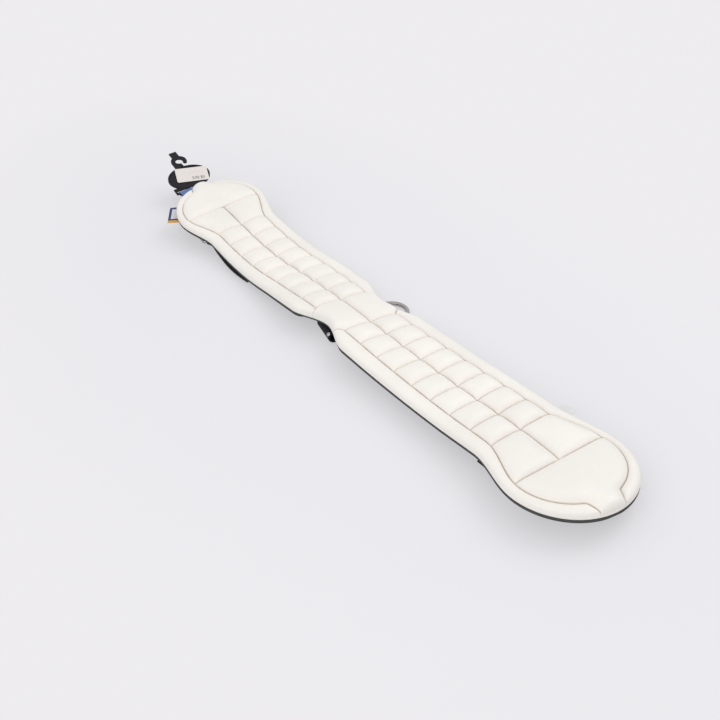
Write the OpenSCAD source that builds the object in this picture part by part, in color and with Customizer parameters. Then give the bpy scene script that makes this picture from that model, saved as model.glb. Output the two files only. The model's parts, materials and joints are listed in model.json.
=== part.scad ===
// Short padded saddle girth with quilted pad, roller buckles on elastics, centre ring and belt hanger.
// X runs along the girth (hanger end at -X), +Y is the ring side, Z is up from the surface it lies on.

/* [Quilted pad] */
// Length of the pad from tip to tip
pad_len = 784; // [720:4:840]
// Cross rows of small cells in each half
rows = 8; // [7:1:9]
// Half length of the plain panel over the neck
neck_half = 30; // [28:1:34]
// Length of the large pair of cells
large_cell = 50; // [40:1:56]
// Length of the end dome beyond the last cross seam
dome_len = 72; // [64:1:76]
// Half width of the pad at the neck
neck_w = 37.5; // [35:0.5:42]
// Half width at the shoulder beside the neck
shoulder_w = 52; // [49:0.5:56]
// Half width in front of the lobe
waist_w = 48.3; // [46:0.1:52]
// Half width of the end lobe
lobe_w = 60.7; // [56:0.1:66]
// Half width of the field of cells inside the rim
cell_w = 34.2; // [32:0.1:36]
// Width of the rim beside the lobe
rim_w = 8.7; // [6:0.1:10]
// Half width of the tongue where the dome runs out to the tip
tongue_w = 14; // [10:1:18]
// Thickness of the foam pressed down at a seam
foam_t = 6; // [5:0.1:8]
// Height of a cell above its seams
crown = 4; // [2.5:0.1:4.5]
// Height of the rim above its seam
rim_crown = 3.4; // [2:0.1:4]
// Distance from the neck's middle to the shoulders
shoulder_x = 52; // [46:1:60]

/* [Backing and shell] */
// Thickness of the dark backing under the foam
backing_t = 2.4; // [1.6:0.1:3]
// How far the backing stays inside the pad's edge
backing_inset = 0.8; // [0.4:0.1:3]
// Thickness of the outer shell
shell_t = 1.6; // [1:0.1:2]
// How far the shell stays inside the pad's edge
shell_inset = 6; // [4:0.5:9]
// Half width of the load webbing
webbing_w = 10.5; // [8:0.5:10.5]
// Thickness of the load webbing
webbing_t = 2; // [1.2:0.1:2.2]
// Half width of the shell where it is cut in beside the ring's loop
shell_neck_w = 20; // [18:0.5:24]

/* [How it lies] */
// Height of the neck's seams above the surface it lies on
neck_level = 23; // [22:0.5:26]
// Tilt of the neck, near side up
neck_roll = -8; // [-9:0.5:-6]

/* [Cross strap and ring] */
// Width of the cross strap
strap_w = 38; // [30:0.5:40]
// Thickness of the cross strap
strap_t = 2.5; // [1.8:0.1:2.8]
// Skew of the cross strap from straight across
strap_skew = 12; // [6:1:14]
// Outer diameter of the ring
ring_od = 43; // [38:0.5:48]
// Thickness of the ring's wire
ring_wire = 5; // [4:0.1:5.4]
// Width of the loop that holds the ring
loop_w = 13; // [9:0.5:13]

/* [Elastics and buckles] */
// Width of an elastic
elastic_w = 30; // [24:0.5:30]
// Thickness of an elastic
elastic_t = 2.3; // [1.8:0.1:2.4]
// Sideways place of the elastics from the middle line
elastic_y = 26; // [26:0.5:30]
// Distance of the buckle bar inside the last cross seam
bar_inset = 20; // [16:1:30]
// Distance from the neck's middle to the middle of an anchor patch
anchor_x = 178; // [160:1:190]
// Length of an anchor patch
anchor_len = 28; // [20:1:34]
// Width of an anchor patch
anchor_w = 90; // [84:1:92]
// Clear width inside a buckle frame
buckle_in = 32; // [31:0.5:36]
// Length of a buckle frame between bar and front rail
buckle_len = 26; // [24:0.5:32]
// Wire thickness of a buckle frame
buckle_wire = 4.6; // [4:0.1:5]
// Outer diameter of the roller
roller_od = 8.4; // [7:0.1:9]
// Thickness of the tongue's wire
tongue_wire = 2.6; // [2:0.1:3]

/* [Hanger and labels] */
// Width of the hang tab ribbon
ribbon_w = 34; // [26:1:36]
// Length of the hanger's oval plate
oval_len = 48; // [40:1:54]
// Width of the hanger's oval plate
oval_w = 63; // [56:1:70]
// Thickness of the hanger plate
plate_t = 2; // [1.6:0.1:2.6]
// Opening of the hanger's hook
hook_bore = 11.2; // [8:0.1:14]
// Slope of the hanger, hook end up
hanger_slope = 18; // [10:1:22]
// Width of the price sticker
sticker_w = 28; // [20:1:34]
// Length of the price sticker
sticker_len = 43; // [30:1:48]
// Width of the edge label
label_w = 42; // [30:1:46]
// Length of the care label outside the pad
care_len = 19; // [12:1:26]

/* [Hidden] */

row_pitch = (pad_len / 2 - neck_half - large_cell - dome_len) / rows;
seam_gap = 0.15;        // half gap between two pads at a fold
ply_gap = 0.15;         // between two sewn layers of one body
seat_gap = 0.3;         // between pieces of two bodies
fold_wedge = 7;         // half angle of the wedge left open under a fold
hinge_rise = 1;         // height of the fold axis above the seam
large_x = neck_half + rows * row_pitch;   // first seam of the large cells
dome_x = large_x + large_cell;            // last cross seam
tip_x = pad_len / 2;
arc_x = dome_x + 5;                       // where the lobe's ellipse starts
arc_len = tip_x - arc_x;
flare_x = large_x - 8;                    // where the pad starts to widen into the lobe
tip_rim = 13;                             // width of the rim at the tip
rim_rise = 8;                             // length over which the rim rises out of the neck panel
dome_rise = 18;                           // length over which the dome rises from its seam
tip_fall = 12;                            // length over which the face runs down at the tip
edge_drop = 2.4;                          // depth of the pad's widest line
edge_tuck = 0.6;                          // the pad's underside is this much narrower
webbing_end = large_x - 15;
shell_depth = foam_t + backing_t + shell_t + 2 * ply_gap;
web_depth = shell_depth + webbing_t + ply_gap;

// Heights of the seam line above the surface, chosen to follow the way the girth lies.
function seam_x(row) = neck_half + row * row_pitch;
lie = [[-tip_x, 40], [-dome_x, 32.7], [-large_x, 25.5], [-seam_x(6.2), 18], [-seam_x(4.5), 16],
    [-seam_x(2.7), 19.5], [-neck_half, neck_level], [neck_half, neck_level], [seam_x(3), 22.5],
    [seam_x(5.7), 24.5], [large_x, 28], [dome_x, 26.7], [tip_x, 30]];
// Tilt about the long axis, negative with the near side up.
tilts = [[-tip_x, 2], [-dome_x, 2], [-seam_x(5.7), 0.2], [-seam_x(2.3), -4], [-neck_half, neck_roll],
    [neck_half, neck_roll], [seam_x(2.3), -4.5], [seam_x(5.7), -0.8], [large_x, -1], [dome_x, -3.8],
    [tip_x, -2.5]];

// ---- small functions
function smooth(t) = let (s = max(0, min(1, t))) s * s * (3 - 2 * s);
function mix(a, b, t) = a + (b - a) * t;
function slope(k, i) = (i == 0 || i == len(k) - 1) ? 0 :
    (k[i + 1][1] - k[i - 1][1]) / (k[i + 1][0] - k[i - 1][0]);
// Smooth curve through knots [[x, value], ...]
function through(k, x, i = 0) =
    x <= k[0][0] ? k[0][1] :
    i >= len(k) - 1 ? k[len(k) - 1][1] :
    x > k[i + 1][0] ? through(k, x, i + 1) :
    let (w = k[i + 1][0] - k[i][0], t = (x - k[i][0]) / w)
        mix(k[i][1], k[i + 1][1], t * t * (3 - 2 * t))
        + w * t * (1 - t) * ((1 - t) * slope(k, i) - t * slope(k, i + 1));
function level(x) = through(lie, x);
function roll(x) = through(tilts, x);
// Half width of the pad's outline
function outline(x) = let (a = abs(x))
    a < shoulder_x ? mix(neck_w, shoulder_w, smooth(a / shoulder_x)) :
    a < flare_x ? mix(shoulder_w, waist_w, (a - shoulder_x) / (flare_x - shoulder_x)) :
    a < arc_x ? mix(waist_w, lobe_w, smooth((a - flare_x) / (arc_x - flare_x))) :
    lobe_w * sqrt(max(0, 1 - pow((a - arc_x) / arc_len, 2)));
// Half width of the seam between cells and rim
function rim_seam(x) = let (a = abs(x), f = lobe_w - rim_w)
    a < flare_x ? cell_w :
    a < arc_x ? mix(cell_w, f, smooth((a - flare_x) / (arc_x - flare_x))) :
    max(f * sqrt(max(0, 1 - pow((a - arc_x) / (arc_len - tip_rim), 2))), min(tongue_w, 0.7 * outline(x)));
// Rise inside a cell, 0 at its seams and 1 in the middle, t from 0 to 1
function puff(t) = 1 - pow(abs(2 * t - 1), 4);
// Place of a point of a cross section: y across, h above the seam line, laid and tilted
function laid(x, y, h) = let (r = roll(x))
    [x, y * cos(r) - h * sin(r), level(x) + y * sin(r) + h * cos(r)];
// The same point with its section leant to the fold's wedge when it is an end section
function leant(x, y, h, end) = laid(x, y, h) + [end * (hinge_rise - h) * tan(fold_wedge), 0, 0];
// The point at depth h straight under the seam surface at [x, y]
function under(p, h) = [p[0], p[1], level(p[0]) + p[1] * tan(roll(p[0])) - h / cos(roll(p[0]))];

// Closed skin over rings of points that all have the same count. Each wall is cut from its low-Y point of
// one ring to its high-Y point of the next, so that layers laid on each other are cut alike.
module skin(rings) {
    n = len(rings[0]);
    m = len(rings);
    points = [for (r = rings) each r];
    walls = [for (i = [0:m - 2]) for (j = [0:n - 1]) let (k = (j + 1) % n, a = i * n, b = a + n)
        each rings[i][k][1] > rings[i][j][1] ? [[a + j, b + k, a + k], [a + j, b + j, b + k]]
            : [[a + j, b + j, a + k], [b + j, b + k, a + k]]];
    polyhedron(points, concat(walls, [[for (j = [0:n - 1]) j]],
        [[for (j = [n - 1:-1:0]) (m - 1) * n + j]]), convexity = 4);
}

// Strip of constant thickness t along a path in a plane
function unit(v) = v / norm(v);
function mitre(p, i) =
    let (a = i == 0 ? unit(p[1] - p[0]) : unit(p[i] - p[i - 1]),
        b = i == len(p) - 1 ? a : unit(p[i + 1] - p[i]),
        m = [-a[1], a[0]], n = [-b[1], b[0]])
    (m + n) / (1 + m * n);
function strip(p, t) = concat([for (i = [0:len(p) - 1]) p[i] + mitre(p, i) * t / 2],
    [for (i = [len(p) - 1:-1:0]) p[i] - mitre(p, i) * t / 2]);
function arc(c, r, a0, a1, n) = [for (i = [0:n]) let (a = mix(a0, a1, i / n)) c + r * [cos(a), sin(a)]];
// A strip's outline, drawn in a lengthwise upright plane and given its width across
module band(path, t, w) rotate([90, 0, 0]) translate([0, 0, -w / 2])
    linear_extrude(w) polygon(strip(path, t));

// ---- quilted pad
// Height of the pad's face over its seam line
function face(x, y) = let (a = abs(x), b = abs(y), g = rim_seam(x), w = outline(x),
    end = a > tip_x - tip_fall ? sqrt(max(0, 1 - pow((a - tip_x + tip_fall) / (tip_fall + 0.5), 2))) : 1)
    a < neck_half ? crown * puff((a + neck_half) / (2 * neck_half)) * puff(b / w) :
    b > g ? end * rim_crown * smooth((a - neck_half) / rim_rise) * puff(min(0.94, (b - g) / (w - g))) :
    a < large_x ? crown * puff((a - neck_half) / row_pitch % 1) * puff(b / g) :
    a < dome_x ? crown * puff((a - large_x) / large_cell) * puff(b / g) :
    end * crown * puff(min(0.5, (a - dome_x) / dome_rise / 2)) * puff(0.5 + b / g / 2);
function columns(x) = let (g = rim_seam(x), w = outline(x))
    abs(x) < neck_half ? [for (f = [0, 0.1, 0.3, 0.55, 0.8, 0.93, 0.97, 1]) f * (w - 1)] :
    concat([for (f = [0, 0.13, 0.5, 0.87, 1]) f * g], [for (f = [0.18, 0.5, 0.86]) mix(g, w, f)]);
function pad_section(x, end) = let (c = columns(x), w = outline(x), n = len(c) - 1,
    low = spread(w - edge_tuck))
    concat([leant(x, -w, -edge_drop, end)],
        [for (i = [n:-1:1]) leant(x, -c[i], face(x, c[i]), end)],
        [for (i = [0:n]) leant(x, c[i], face(x, c[i]), end)],
        [leant(x, w, -edge_drop, end)],
        [for (i = [3:-1:0]) leant(x, low[i], -foam_t, end)]);
// Places across a layer of half width w, the same on every layer over the load webbing
inner_share = 0.6;                        // where a layer is narrow, its inner places keep this share
function spread(w) = let (m = min(webbing_w, w * inner_share)) [-w, -m, m, w];
lobe_xs = [for (s = [12:12:72]) arc_x + arc_len * sin(s)];
half_xs = concat([for (i = [0:rows - 1]) for (f = [0, 0.12, 0.32, 0.68, 0.88]) seam_x(i + f)],
    [for (f = [0, 0.08, 0.2, 0.35, 0.5, 0.65, 0.8, 0.92, 1]) mix(large_x, dome_x, f)],
    [dome_x + 3], lobe_xs, [tip_x - 1.8, tip_x - 0.5]);
// A body's stations along X: side is -1 left, 0 neck, 1 right
function stations(side) =
    side == 0 ? [for (f = [-1, -0.85, -0.5, 0, 0.5, 0.85, 1]) f * (neck_half - seam_gap)] :
    let (xs = concat([neck_half + seam_gap], [for (x = half_xs) if (x > neck_half + 1) x]))
        side > 0 ? xs : [for (i = [len(xs) - 1:-1:0]) -xs[i]];
function lean(side, i, n) = side == 0 ? (i == 0 ? 1 : i == n ? -1 : 0) :
    side > 0 ? (i == 0 ? 1 : 0) : (i == n ? -1 : 0);
module pad(side) {
    xs = stations(side);
    n = len(xs) - 1;
    color([0.94, 0.92, 0.87]) skin([for (i = [0:n]) pad_section(xs[i], lean(side, i, n))]);
}
module pad_neck() pad(0);
module pad_left() pad(-1);
module pad_right() pad(1);

// ---- flat layers under the pad: a sheet from depth top down by thick, half width from a function
module layer(side, half, top, thick, reach) {
    all = stations(side);
    xs = [for (x = all) if (abs(x) < reach) x];
    n = len(xs) - 1;
    full_first = xs[0] == all[0];
    full_last = xs[n] == all[len(all) - 1];
    skin([for (i = [0:n]) let (x = xs[i], ys = spread(half(x)),
        e = (i == 0 && full_first || i == n && full_last) ? lean(side, i, n) : 0)
        concat([for (y = ys) leant(x, y, -top, e)],
            [for (j = [3:-1:0]) leant(x, ys[j], -top - thick, e)])]);
}
backing_half = function(x) max(1.5, outline(x) - backing_inset);
// The shell is cut in at the neck, so that the ring's loop lies beside it
cut_half = strap_w / 2;                   // half length of the cut's straight part
cut_run = 24;                             // length over which the shell widens again
shell_half = function(x) outline(x) - shell_inset
    - (neck_w - shell_inset - shell_neck_w) * (1 - smooth((abs(x) - cut_half) / cut_run));
web_half = function(x) webbing_w;
module backing(side) color([0.2, 0.22, 0.2])
    layer(side, backing_half, foam_t + ply_gap, backing_t, tip_x - 1);
module shell(side) color([0.08, 0.08, 0.09])
    layer(side, shell_half, foam_t + backing_t + 2 * ply_gap, shell_t, tip_x - 6);
module webbing(side) color([0.05, 0.05, 0.06])
    layer(side, web_half, shell_depth + ply_gap, webbing_t, webbing_end);
module backing_neck() backing(0);
module backing_left() backing(-1);
module backing_right() backing(1);
module shell_neck() shell(0);
module shell_left() shell(-1);
module shell_right() shell(1);
module webbing_neck() webbing(0);
module webbing_left() webbing(-1);
module webbing_right() webbing(1);

// ---- cross strap under the neck: flat on the surface, folded up at the near side, back under the webbing
strap_mid = -6.6;                       // where its middle line crosses the long axis
strap_out = 20;                         // far end of its lower layer
strap_end = 15;                         // far end of its upper layer, over the ring's loop
fold_end = -neck_w;                     // near face of its fold, level with the pad's edge
stud_r = 3;                             // bright stud at the fold's right end
stud_inset = 3.3;
stud_dome = 4.2;
stud_turn = 40;                         // how far round the fold the stud sits above its outermost line
ring_r = (ring_od - ring_wire) / 2;
loop_t = 1;
loop_root = 4;                          // inner end of the loop's two layers
wire_bow = pow(loop_w / 2, 2) / (2 * ring_r);   // the ring's wire bows this much inside its loop
loop_r = ring_wire / 2 + wire_bow + seat_gap;
ring_seat = [strap_out + 7, loop_r + loop_t + ply_gap];
strap_slack = strap_w / 2 * sin(strap_skew) * sin(-neck_roll);
function under_web(y) = neck_level + y * tan(neck_roll) - (web_depth + ply_gap) / cos(neck_roll)
    - strap_slack;
fold_r = under_web(fold_end + 6) / 2;   // the fold reaches from the surface up to the webbing's level
module on_strap() translate([strap_mid, 0, 0]) rotate([0, 0, -strap_skew]) children();
// Draws a path of [along the strap, up] with the strap's width
module cross_band(path, t, w) rotate([0, 0, 90]) band(path, t, w);
module cross_strap() color([0.04, 0.04, 0.045]) on_strap() {
    mid = strap_t / 2;
    cross_band(concat([[strap_out, mid]],
        arc([fold_end + fold_r, fold_r], fold_r - mid, 270, 90, 14),
        [[strap_end, under_web(strap_end) - mid]]), strap_t, strap_w);
}
module strap_rivet() color("silver") on_strap()
    translate([strap_w / 2 - stud_inset, fold_end + fold_r, fold_r]) rotate([90 - stud_turn, 0, 0])
    translate([0, 0, fold_r + ply_gap]) intersection() {
        translate([0, 0, -sqrt(pow(stud_dome, 2) - pow(stud_r, 2))]) sphere(r = stud_dome, $fn = 48);
        cylinder(r = stud_r, h = stud_dome, $fn = 48);
    }
// Narrow webbing loop between the strap's layers, round the ring's wire
module ring_loop() color([0.05, 0.05, 0.055]) on_strap() {
    low = strap_t + ply_gap + loop_t / 2;
    high = low + loop_t + ply_gap;
    cross_band(concat([[loop_root, low], [strap_out + 1, low]],
        arc(ring_seat, loop_r + loop_t / 2, 250, 470, 16),
        [[strap_out + 1, high], [loop_root, high]]), loop_t, loop_w);
}
ring_drop = asin((ring_seat[1] - ring_wire / 2) / (2 * ring_r));
module girth_ring() color([0.8, 0.8, 0.82]) on_strap() translate([0, ring_seat[0], ring_seat[1]])
    rotate([-ring_drop, 0, 0]) translate([0, ring_r, 0])
    rotate_extrude($fn = 96) translate([ring_r, 0]) circle(d = ring_wire, $fn = 32);

// ---- elastics and roller buckles; sets are [name, side, y at the bar, splay]
SETS = [["left_near", -1, -elastic_y, 4], ["left_far", -1, elastic_y, 0],
    ["right_near", 1, -elastic_y, 0], ["right_far", 1, elastic_y, 0]];
bar_x = dome_x - bar_inset;
wire_r = buckle_wire / 2;
chape_in = wire_r + seat_gap;
chape_mid = chape_in + elastic_t / 2;
chape_len = 16;                         // from the bar back to where the elastic starts
tail_len = 42;                          // the folded end is sewn down over this length
slot_w = 8;                             // slot of the end piece for the tongue
slot_len = 19.5;
bar_z = chape_in + elastic_t + 0.05;
roller_z = tongue_wire + roller_od / 2 + 2 * seat_gap;
frame_tilt = asin((roller_z - bar_z) / buckle_len);
corner_r = 3.5;
bore_play = 0.06;                       // radial play of roller and tongue on the wire
rail_y = buckle_in / 2 + wire_r;
elastic_top = shell_depth + seat_gap;
anchor_t = 1.5;
elastic_lap = 8;                        // an elastic reaches this far inside its anchor's middle
// Middle line of an elastic, with its height and tilt easing from the shell to the buckle
function ease(a) = smooth((a - anchor_x) / (bar_x - chape_len - anchor_x));
function strap_y(s, a) = s[2] - tan(s[3]) * (bar_x - a);
function elastic_mid(x, y) = let (a = abs(x), r = mix(roll(x), 0, ease(a)),
    seat = level(x) - elastic_top - elastic_t / 2)
    min(seat, mix(seat, bar_z + chape_mid, ease(a))) + y * sin(r);
// Corner of an elastic's section at distance a from the neck: c across it, h off its middle line
function elastic_corner(s, a, c, h) = let (y = strap_y(s, a) + c * cos(s[3]))
    [s[1] * (a - c * sin(s[3])), y, elastic_mid(s[1] * a, y) + h];
module elastic(s) {
    steps = 12;
    along = [for (i = [0:steps]) mix(anchor_x - elastic_lap, bar_x - chape_len - ply_gap, i / steps)];
    w = elastic_w / 2;
    t = elastic_t / 2;
    color([0.06, 0.06, 0.07]) skin([for (i = [0:steps]) let (a = along[s[1] > 0 ? i : steps - i])
        [for (c = [[-w, -t], [-w, t], [w, t], [w, -t]]) elastic_corner(s, a, c[0], c[1])]]);
}
// Sewn patch that carries the inner ends of both elastics of one side
module anchor(side) {
    top = elastic_top + elastic_t + 2 * ply_gap;
    w = anchor_w / 2;
    color([0.1, 0.1, 0.11]) skin([for (f = [-0.5:0.25:0.5]) let (x = side * anchor_x + anchor_len * f)
        [laid(x, -w, -top - anchor_t), laid(x, -w, -top), laid(x, w, -top), laid(x, w, -top - anchor_t)]]);
}
module anchor_left() anchor(-1);
module anchor_right() anchor(1);

// Puts a buckle, drawn with its bar along Y at the origin and its roller at +X, in its place
module at_buckle(s) translate([s[1] * bar_x, s[2], bar_z]) mirror([s[1] < 0 ? 1 : 0, 0, 0])
    rotate([0, 0, s[3]]) children();
module in_frame() rotate([0, -frame_tilt, 0]) children();
module chape(s) color([0.06, 0.06, 0.07]) at_buckle(s) difference() {
    low = chape_mid - elastic_t - ply_gap;
    band(concat([[-chape_len, chape_mid]], arc([0, 0], chape_mid, 90, -90, 12),
        [[-chape_len, low], [-tail_len, low]]), elastic_t, elastic_w);
    translate([-slot_len, -slot_w / 2, -buckle_len / 2]) cube([slot_len + buckle_len, slot_w, buckle_len]);
}
module rod(r, h) cylinder(r = r, h = h, center = true, $fn = 48);
module buckle_frame(s) color([0.78, 0.78, 0.8]) at_buckle(s) in_frame() {
    reach = 2 * (rail_y - corner_r);
    for (x = [0, buckle_len]) translate([x, 0, 0]) rotate([90, 0, 0]) rod(wire_r, reach);
    for (y = [-rail_y, rail_y]) translate([buckle_len / 2, y, 0]) rotate([0, 90, 0])
        rod(wire_r, buckle_len - 2 * corner_r);
    for (c = [[corner_r, -1, 180], [corner_r, 1, 90], [buckle_len - corner_r, -1, 270],
        [buckle_len - corner_r, 1, 0]])
        translate([c[0], c[1] * (rail_y - corner_r), 0]) rotate([0, 0, c[2]])
        rotate_extrude(angle = 90, $fn = 48) translate([corner_r, 0]) circle(r = wire_r, $fn = 48);
}
module buckle_roller(s) color([0.85, 0.85, 0.87]) at_buckle(s) in_frame()
    translate([buckle_len, 0, 0]) rotate([90, 0, 0]) difference() {
        rod(roller_od / 2, 2 * (rail_y - corner_r) - 1);
        rod(wire_r + bore_play, buckle_in * 2);
    }
// The tongue lies across the outer side of the roller
eye_w = 5;
module buckle_tongue(s) color([0.82, 0.82, 0.84]) at_buckle(s) {
    r = tongue_wire / 2;
    mid = bar_z - r - seat_gap / 3;
    reach = buckle_len + roller_od / 2 + 0.5;
    difference() {
        union() {
            rotate([90, 0, 0]) rod(bar_z - seat_gap / 4, eye_w);
            translate([0, 0, -mid]) rotate([0, 90, 0]) cylinder(r = r, h = reach, $fn = 32);
            translate([reach, 0, -mid]) sphere(r = r, $fn = 32);
        }
        rotate([90, 0, 0]) rod(wire_r + bore_play, 2 * eye_w);
    }
}

// ---- hang tab, hanger and labels
bar_r = 1.6;                            // the hanger's slot bar
tab_t = 0.7;
tab_y = -3;
tab_root = 18;                          // the tab is sewn under the tip over this length
hang = [-tip_x - 32, 23.8];             // axis of the slot bar, x and z
tab_top = min([for (x = [-tip_x, -tip_x + tab_root], y = [-0.5, 0.5])
    under([x, tab_y + y * ribbon_w], shell_depth + seat_gap)[2]]);
module hang_tab() color([0.3, 0.42, 0.6]) translate([0, tab_y, 0]) {
    top = tab_top - tab_t / 2;
    low = top - tab_t - ply_gap;
    r = bar_r + seat_gap + tab_t / 2;
    band(concat([[-tip_x + tab_root, top], [-tip_x - 6, top]],
        arc(hang, r, 80, 280, 14), [[-tip_x - 6, low], [-tip_x + tab_root, low]]), tab_t, ribbon_w);
}
plate_mid = [oval_len / 2 + 2, 12.3];    // centre of the oval from the slot bar
bead_w = 2;                             // raised bead round the oval
bead_t = 0.4;
link_w = 2.4;                            // arms beside the tab's slot
slot_half = ribbon_w / 2 + 1;
slot_gap = 3.2;                         // the tab's ribbon passes through a slot this wide
root_w = 5;                              // width of the bridge between slot and oval
hook_w = 6;                             // width of the hook's arm
hook_mid = plate_mid + [oval_len / 2 + 13, 2.7];
hook_r = hook_bore / 2;
hook_open = 115.5;                      // the hook's arm ends at this angle
nose_len = 9;                           // flag behind the hook's bend
nose_w = 11;
function oval(a, b) = [for (i = [0:59]) [a * cos(6 * i), b * sin(6 * i)]];
module on_hanger() translate([hang[0], tab_y, hang[1]]) rotate([0, hanger_slope, 0])
    mirror([1, 0, 0]) children();
module slab(t) translate([0, 0, -t / 2]) linear_extrude(t) children();
module hanger() color([0.1, 0.1, 0.11]) on_hanger() {
    rotate([90, 0, 0]) rod(bar_r, 2 * (slot_half + link_w));
    difference() {
        union() {
            slab(plate_t) translate(plate_mid) polygon(oval(oval_len / 2, oval_w / 2));
            for (y = [-slot_half - link_w, slot_half])
                slab(plate_t) translate([0, y]) square([bar_r + slot_gap + root_w, link_w]);
            slab(plate_t) translate([bar_r + slot_gap + 0.4, -slot_half - link_w])
                square([root_w, 2 * (slot_half + link_w)]);
            slab(plate_t + 2 * bead_t) translate(plate_mid) difference() {
                polygon(oval(oval_len / 2, oval_w / 2));
                polygon(oval(oval_len / 2 - bead_w, oval_w / 2 - bead_w));
            }
        }
        translate([bar_r + 0.4, -slot_half, -plate_t]) cube([slot_gap, 2 * slot_half, 2 * plate_t]);
    }
    slab(plate_t + bead_t) union() {
        translate(hook_mid) difference() {
            circle(r = hook_r + hook_w, $fn = 64);
            circle(r = hook_r, $fn = 64);
            polygon([[0, 0], [-24, 3], [-24, 24], [-7, 24]]);   // mouth of the hook
        }
        translate(hook_mid + (hook_r + hook_w / 2) * [cos(hook_open), sin(hook_open)])
            circle(r = hook_w / 2, $fn = 32);
        translate([hook_mid[0] - 16, hook_mid[1] - hook_r - hook_w]) square([12, 8]);
        translate(hook_mid + [hook_r + 1, -nose_w / 2]) square([hook_w + nose_len, nose_w]);
    }
}
sticker_t = 0.3;
module hanger_sticker() color([0.9, 0.89, 0.86]) on_hanger()
    translate(concat(plate_mid + [1.5, 5.6], plate_t / 2 + bead_t + 0.05)) rotate([0, 0, 18])
    translate([-sticker_w / 2, -sticker_len / 2, 0]) cube([sticker_w, sticker_len, sticker_t]);

// Thin label laid along the shell's underside from a base line: u along it, v out of the pad
module label(spot, u0, u1, v0, v1, t) {
    steps = 6;
    depth = shell_depth + ply_gap;
    skin([for (i = [0:steps]) let (u = mix(u0, u1, i / steps))
        [for (c = [[v0, depth + t], [v0, depth], [v1, depth], [v1, depth + t]]) under(spot(u, c[0]), c[1])]]);
}
label_angle = 236;                      // place of the edge label round the left lobe's ellipse
label_in = 6;
label_out = 11.5;
module edge_label() {
    rim = [-arc_x + arc_len * cos(label_angle), lobe_w * sin(label_angle)];
    turn = atan2(arc_len * sin(label_angle), lobe_w * cos(label_angle)) + 90;
    color([0.15, 0.2, 0.38])
        label(function(u, v) rim + u * [cos(turn), sin(turn)] + v * [-sin(turn), cos(turn)],
            -label_w / 2, label_w / 2, -label_in, label_out, 0.6);
}
// Care label at the far edge of the right half
care_w = 15;
care_in = 9;
module care_label() {
    x = large_x - 4;
    color([0.93, 0.93, 0.93]) label(function(u, v) [x + u, outline(x) + v],
        -care_w / 2, care_w / 2, -care_in, care_len, 0.4);
}

// ---- drawing
pad_neck();
pad_left();
pad_right();
backing_neck();
backing_left();
backing_right();
shell_neck();
shell_left();
shell_right();
webbing_neck();
webbing_left();
webbing_right();
cross_strap();
strap_rivet();
ring_loop();
girth_ring();
anchor_left();
anchor_right();
for (s = SETS) {
    elastic(s);
    chape(s);
    buckle_frame(s);
    buckle_tongue(s);
    buckle_roller(s);
}
hang_tab();
hanger();
hanger_sticker();
edge_label();
care_label();
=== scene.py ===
import json
import math

import bmesh
import bpy
import numpy as np
from mathutils import Matrix, Vector

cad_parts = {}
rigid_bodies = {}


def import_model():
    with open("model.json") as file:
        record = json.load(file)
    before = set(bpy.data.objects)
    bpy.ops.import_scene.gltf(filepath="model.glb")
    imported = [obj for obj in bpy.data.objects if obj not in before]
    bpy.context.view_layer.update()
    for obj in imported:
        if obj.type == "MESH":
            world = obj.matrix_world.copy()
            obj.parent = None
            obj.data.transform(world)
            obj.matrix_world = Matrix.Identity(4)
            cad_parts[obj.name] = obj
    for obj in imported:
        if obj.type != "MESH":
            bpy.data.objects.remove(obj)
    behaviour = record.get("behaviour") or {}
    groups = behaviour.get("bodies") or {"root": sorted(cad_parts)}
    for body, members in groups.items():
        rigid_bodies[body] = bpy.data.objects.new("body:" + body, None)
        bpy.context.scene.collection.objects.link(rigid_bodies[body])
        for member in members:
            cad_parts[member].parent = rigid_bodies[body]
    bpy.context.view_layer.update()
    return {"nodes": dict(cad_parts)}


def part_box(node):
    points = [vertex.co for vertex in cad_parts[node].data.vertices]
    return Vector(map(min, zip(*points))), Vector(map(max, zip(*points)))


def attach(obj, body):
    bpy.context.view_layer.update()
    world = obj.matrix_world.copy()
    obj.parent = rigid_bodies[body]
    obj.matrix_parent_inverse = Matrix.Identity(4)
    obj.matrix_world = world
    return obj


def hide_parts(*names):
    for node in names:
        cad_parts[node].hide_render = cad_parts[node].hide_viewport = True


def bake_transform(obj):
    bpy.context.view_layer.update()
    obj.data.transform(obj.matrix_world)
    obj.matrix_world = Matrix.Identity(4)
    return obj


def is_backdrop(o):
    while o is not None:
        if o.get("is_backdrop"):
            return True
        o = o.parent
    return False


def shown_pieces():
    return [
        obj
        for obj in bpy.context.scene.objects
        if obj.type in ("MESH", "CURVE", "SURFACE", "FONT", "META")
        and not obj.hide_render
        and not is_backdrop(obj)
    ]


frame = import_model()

bl_info = {
    "name": "Padded Saddle Girth",
    "version": (1, 0, 0),
    "blender": (4, 5, 0),
    "location": "View3D > Sidebar > Girth",
    "description": "Quilted cover, layers, straps, metalwork, hanger and labels of a short padded saddle girth",
    "category": "Add Mesh",
}

MM = 0.001

# ---------------------------------------------------------------- image points and camera
# Points of the photograph's frame, 720 by 720.
FRAME_W, FRAME_H = 720, 720
CAMERA_PLACE = (0.7307, -0.4253, 0.58107)
CAMERA_YAW, CAMERA_PITCH, CAMERA_ROLL = -59.8836, 36.4770, -6.7782
CAMERA_LENS, SENSOR = 45.355, 36.0


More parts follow.
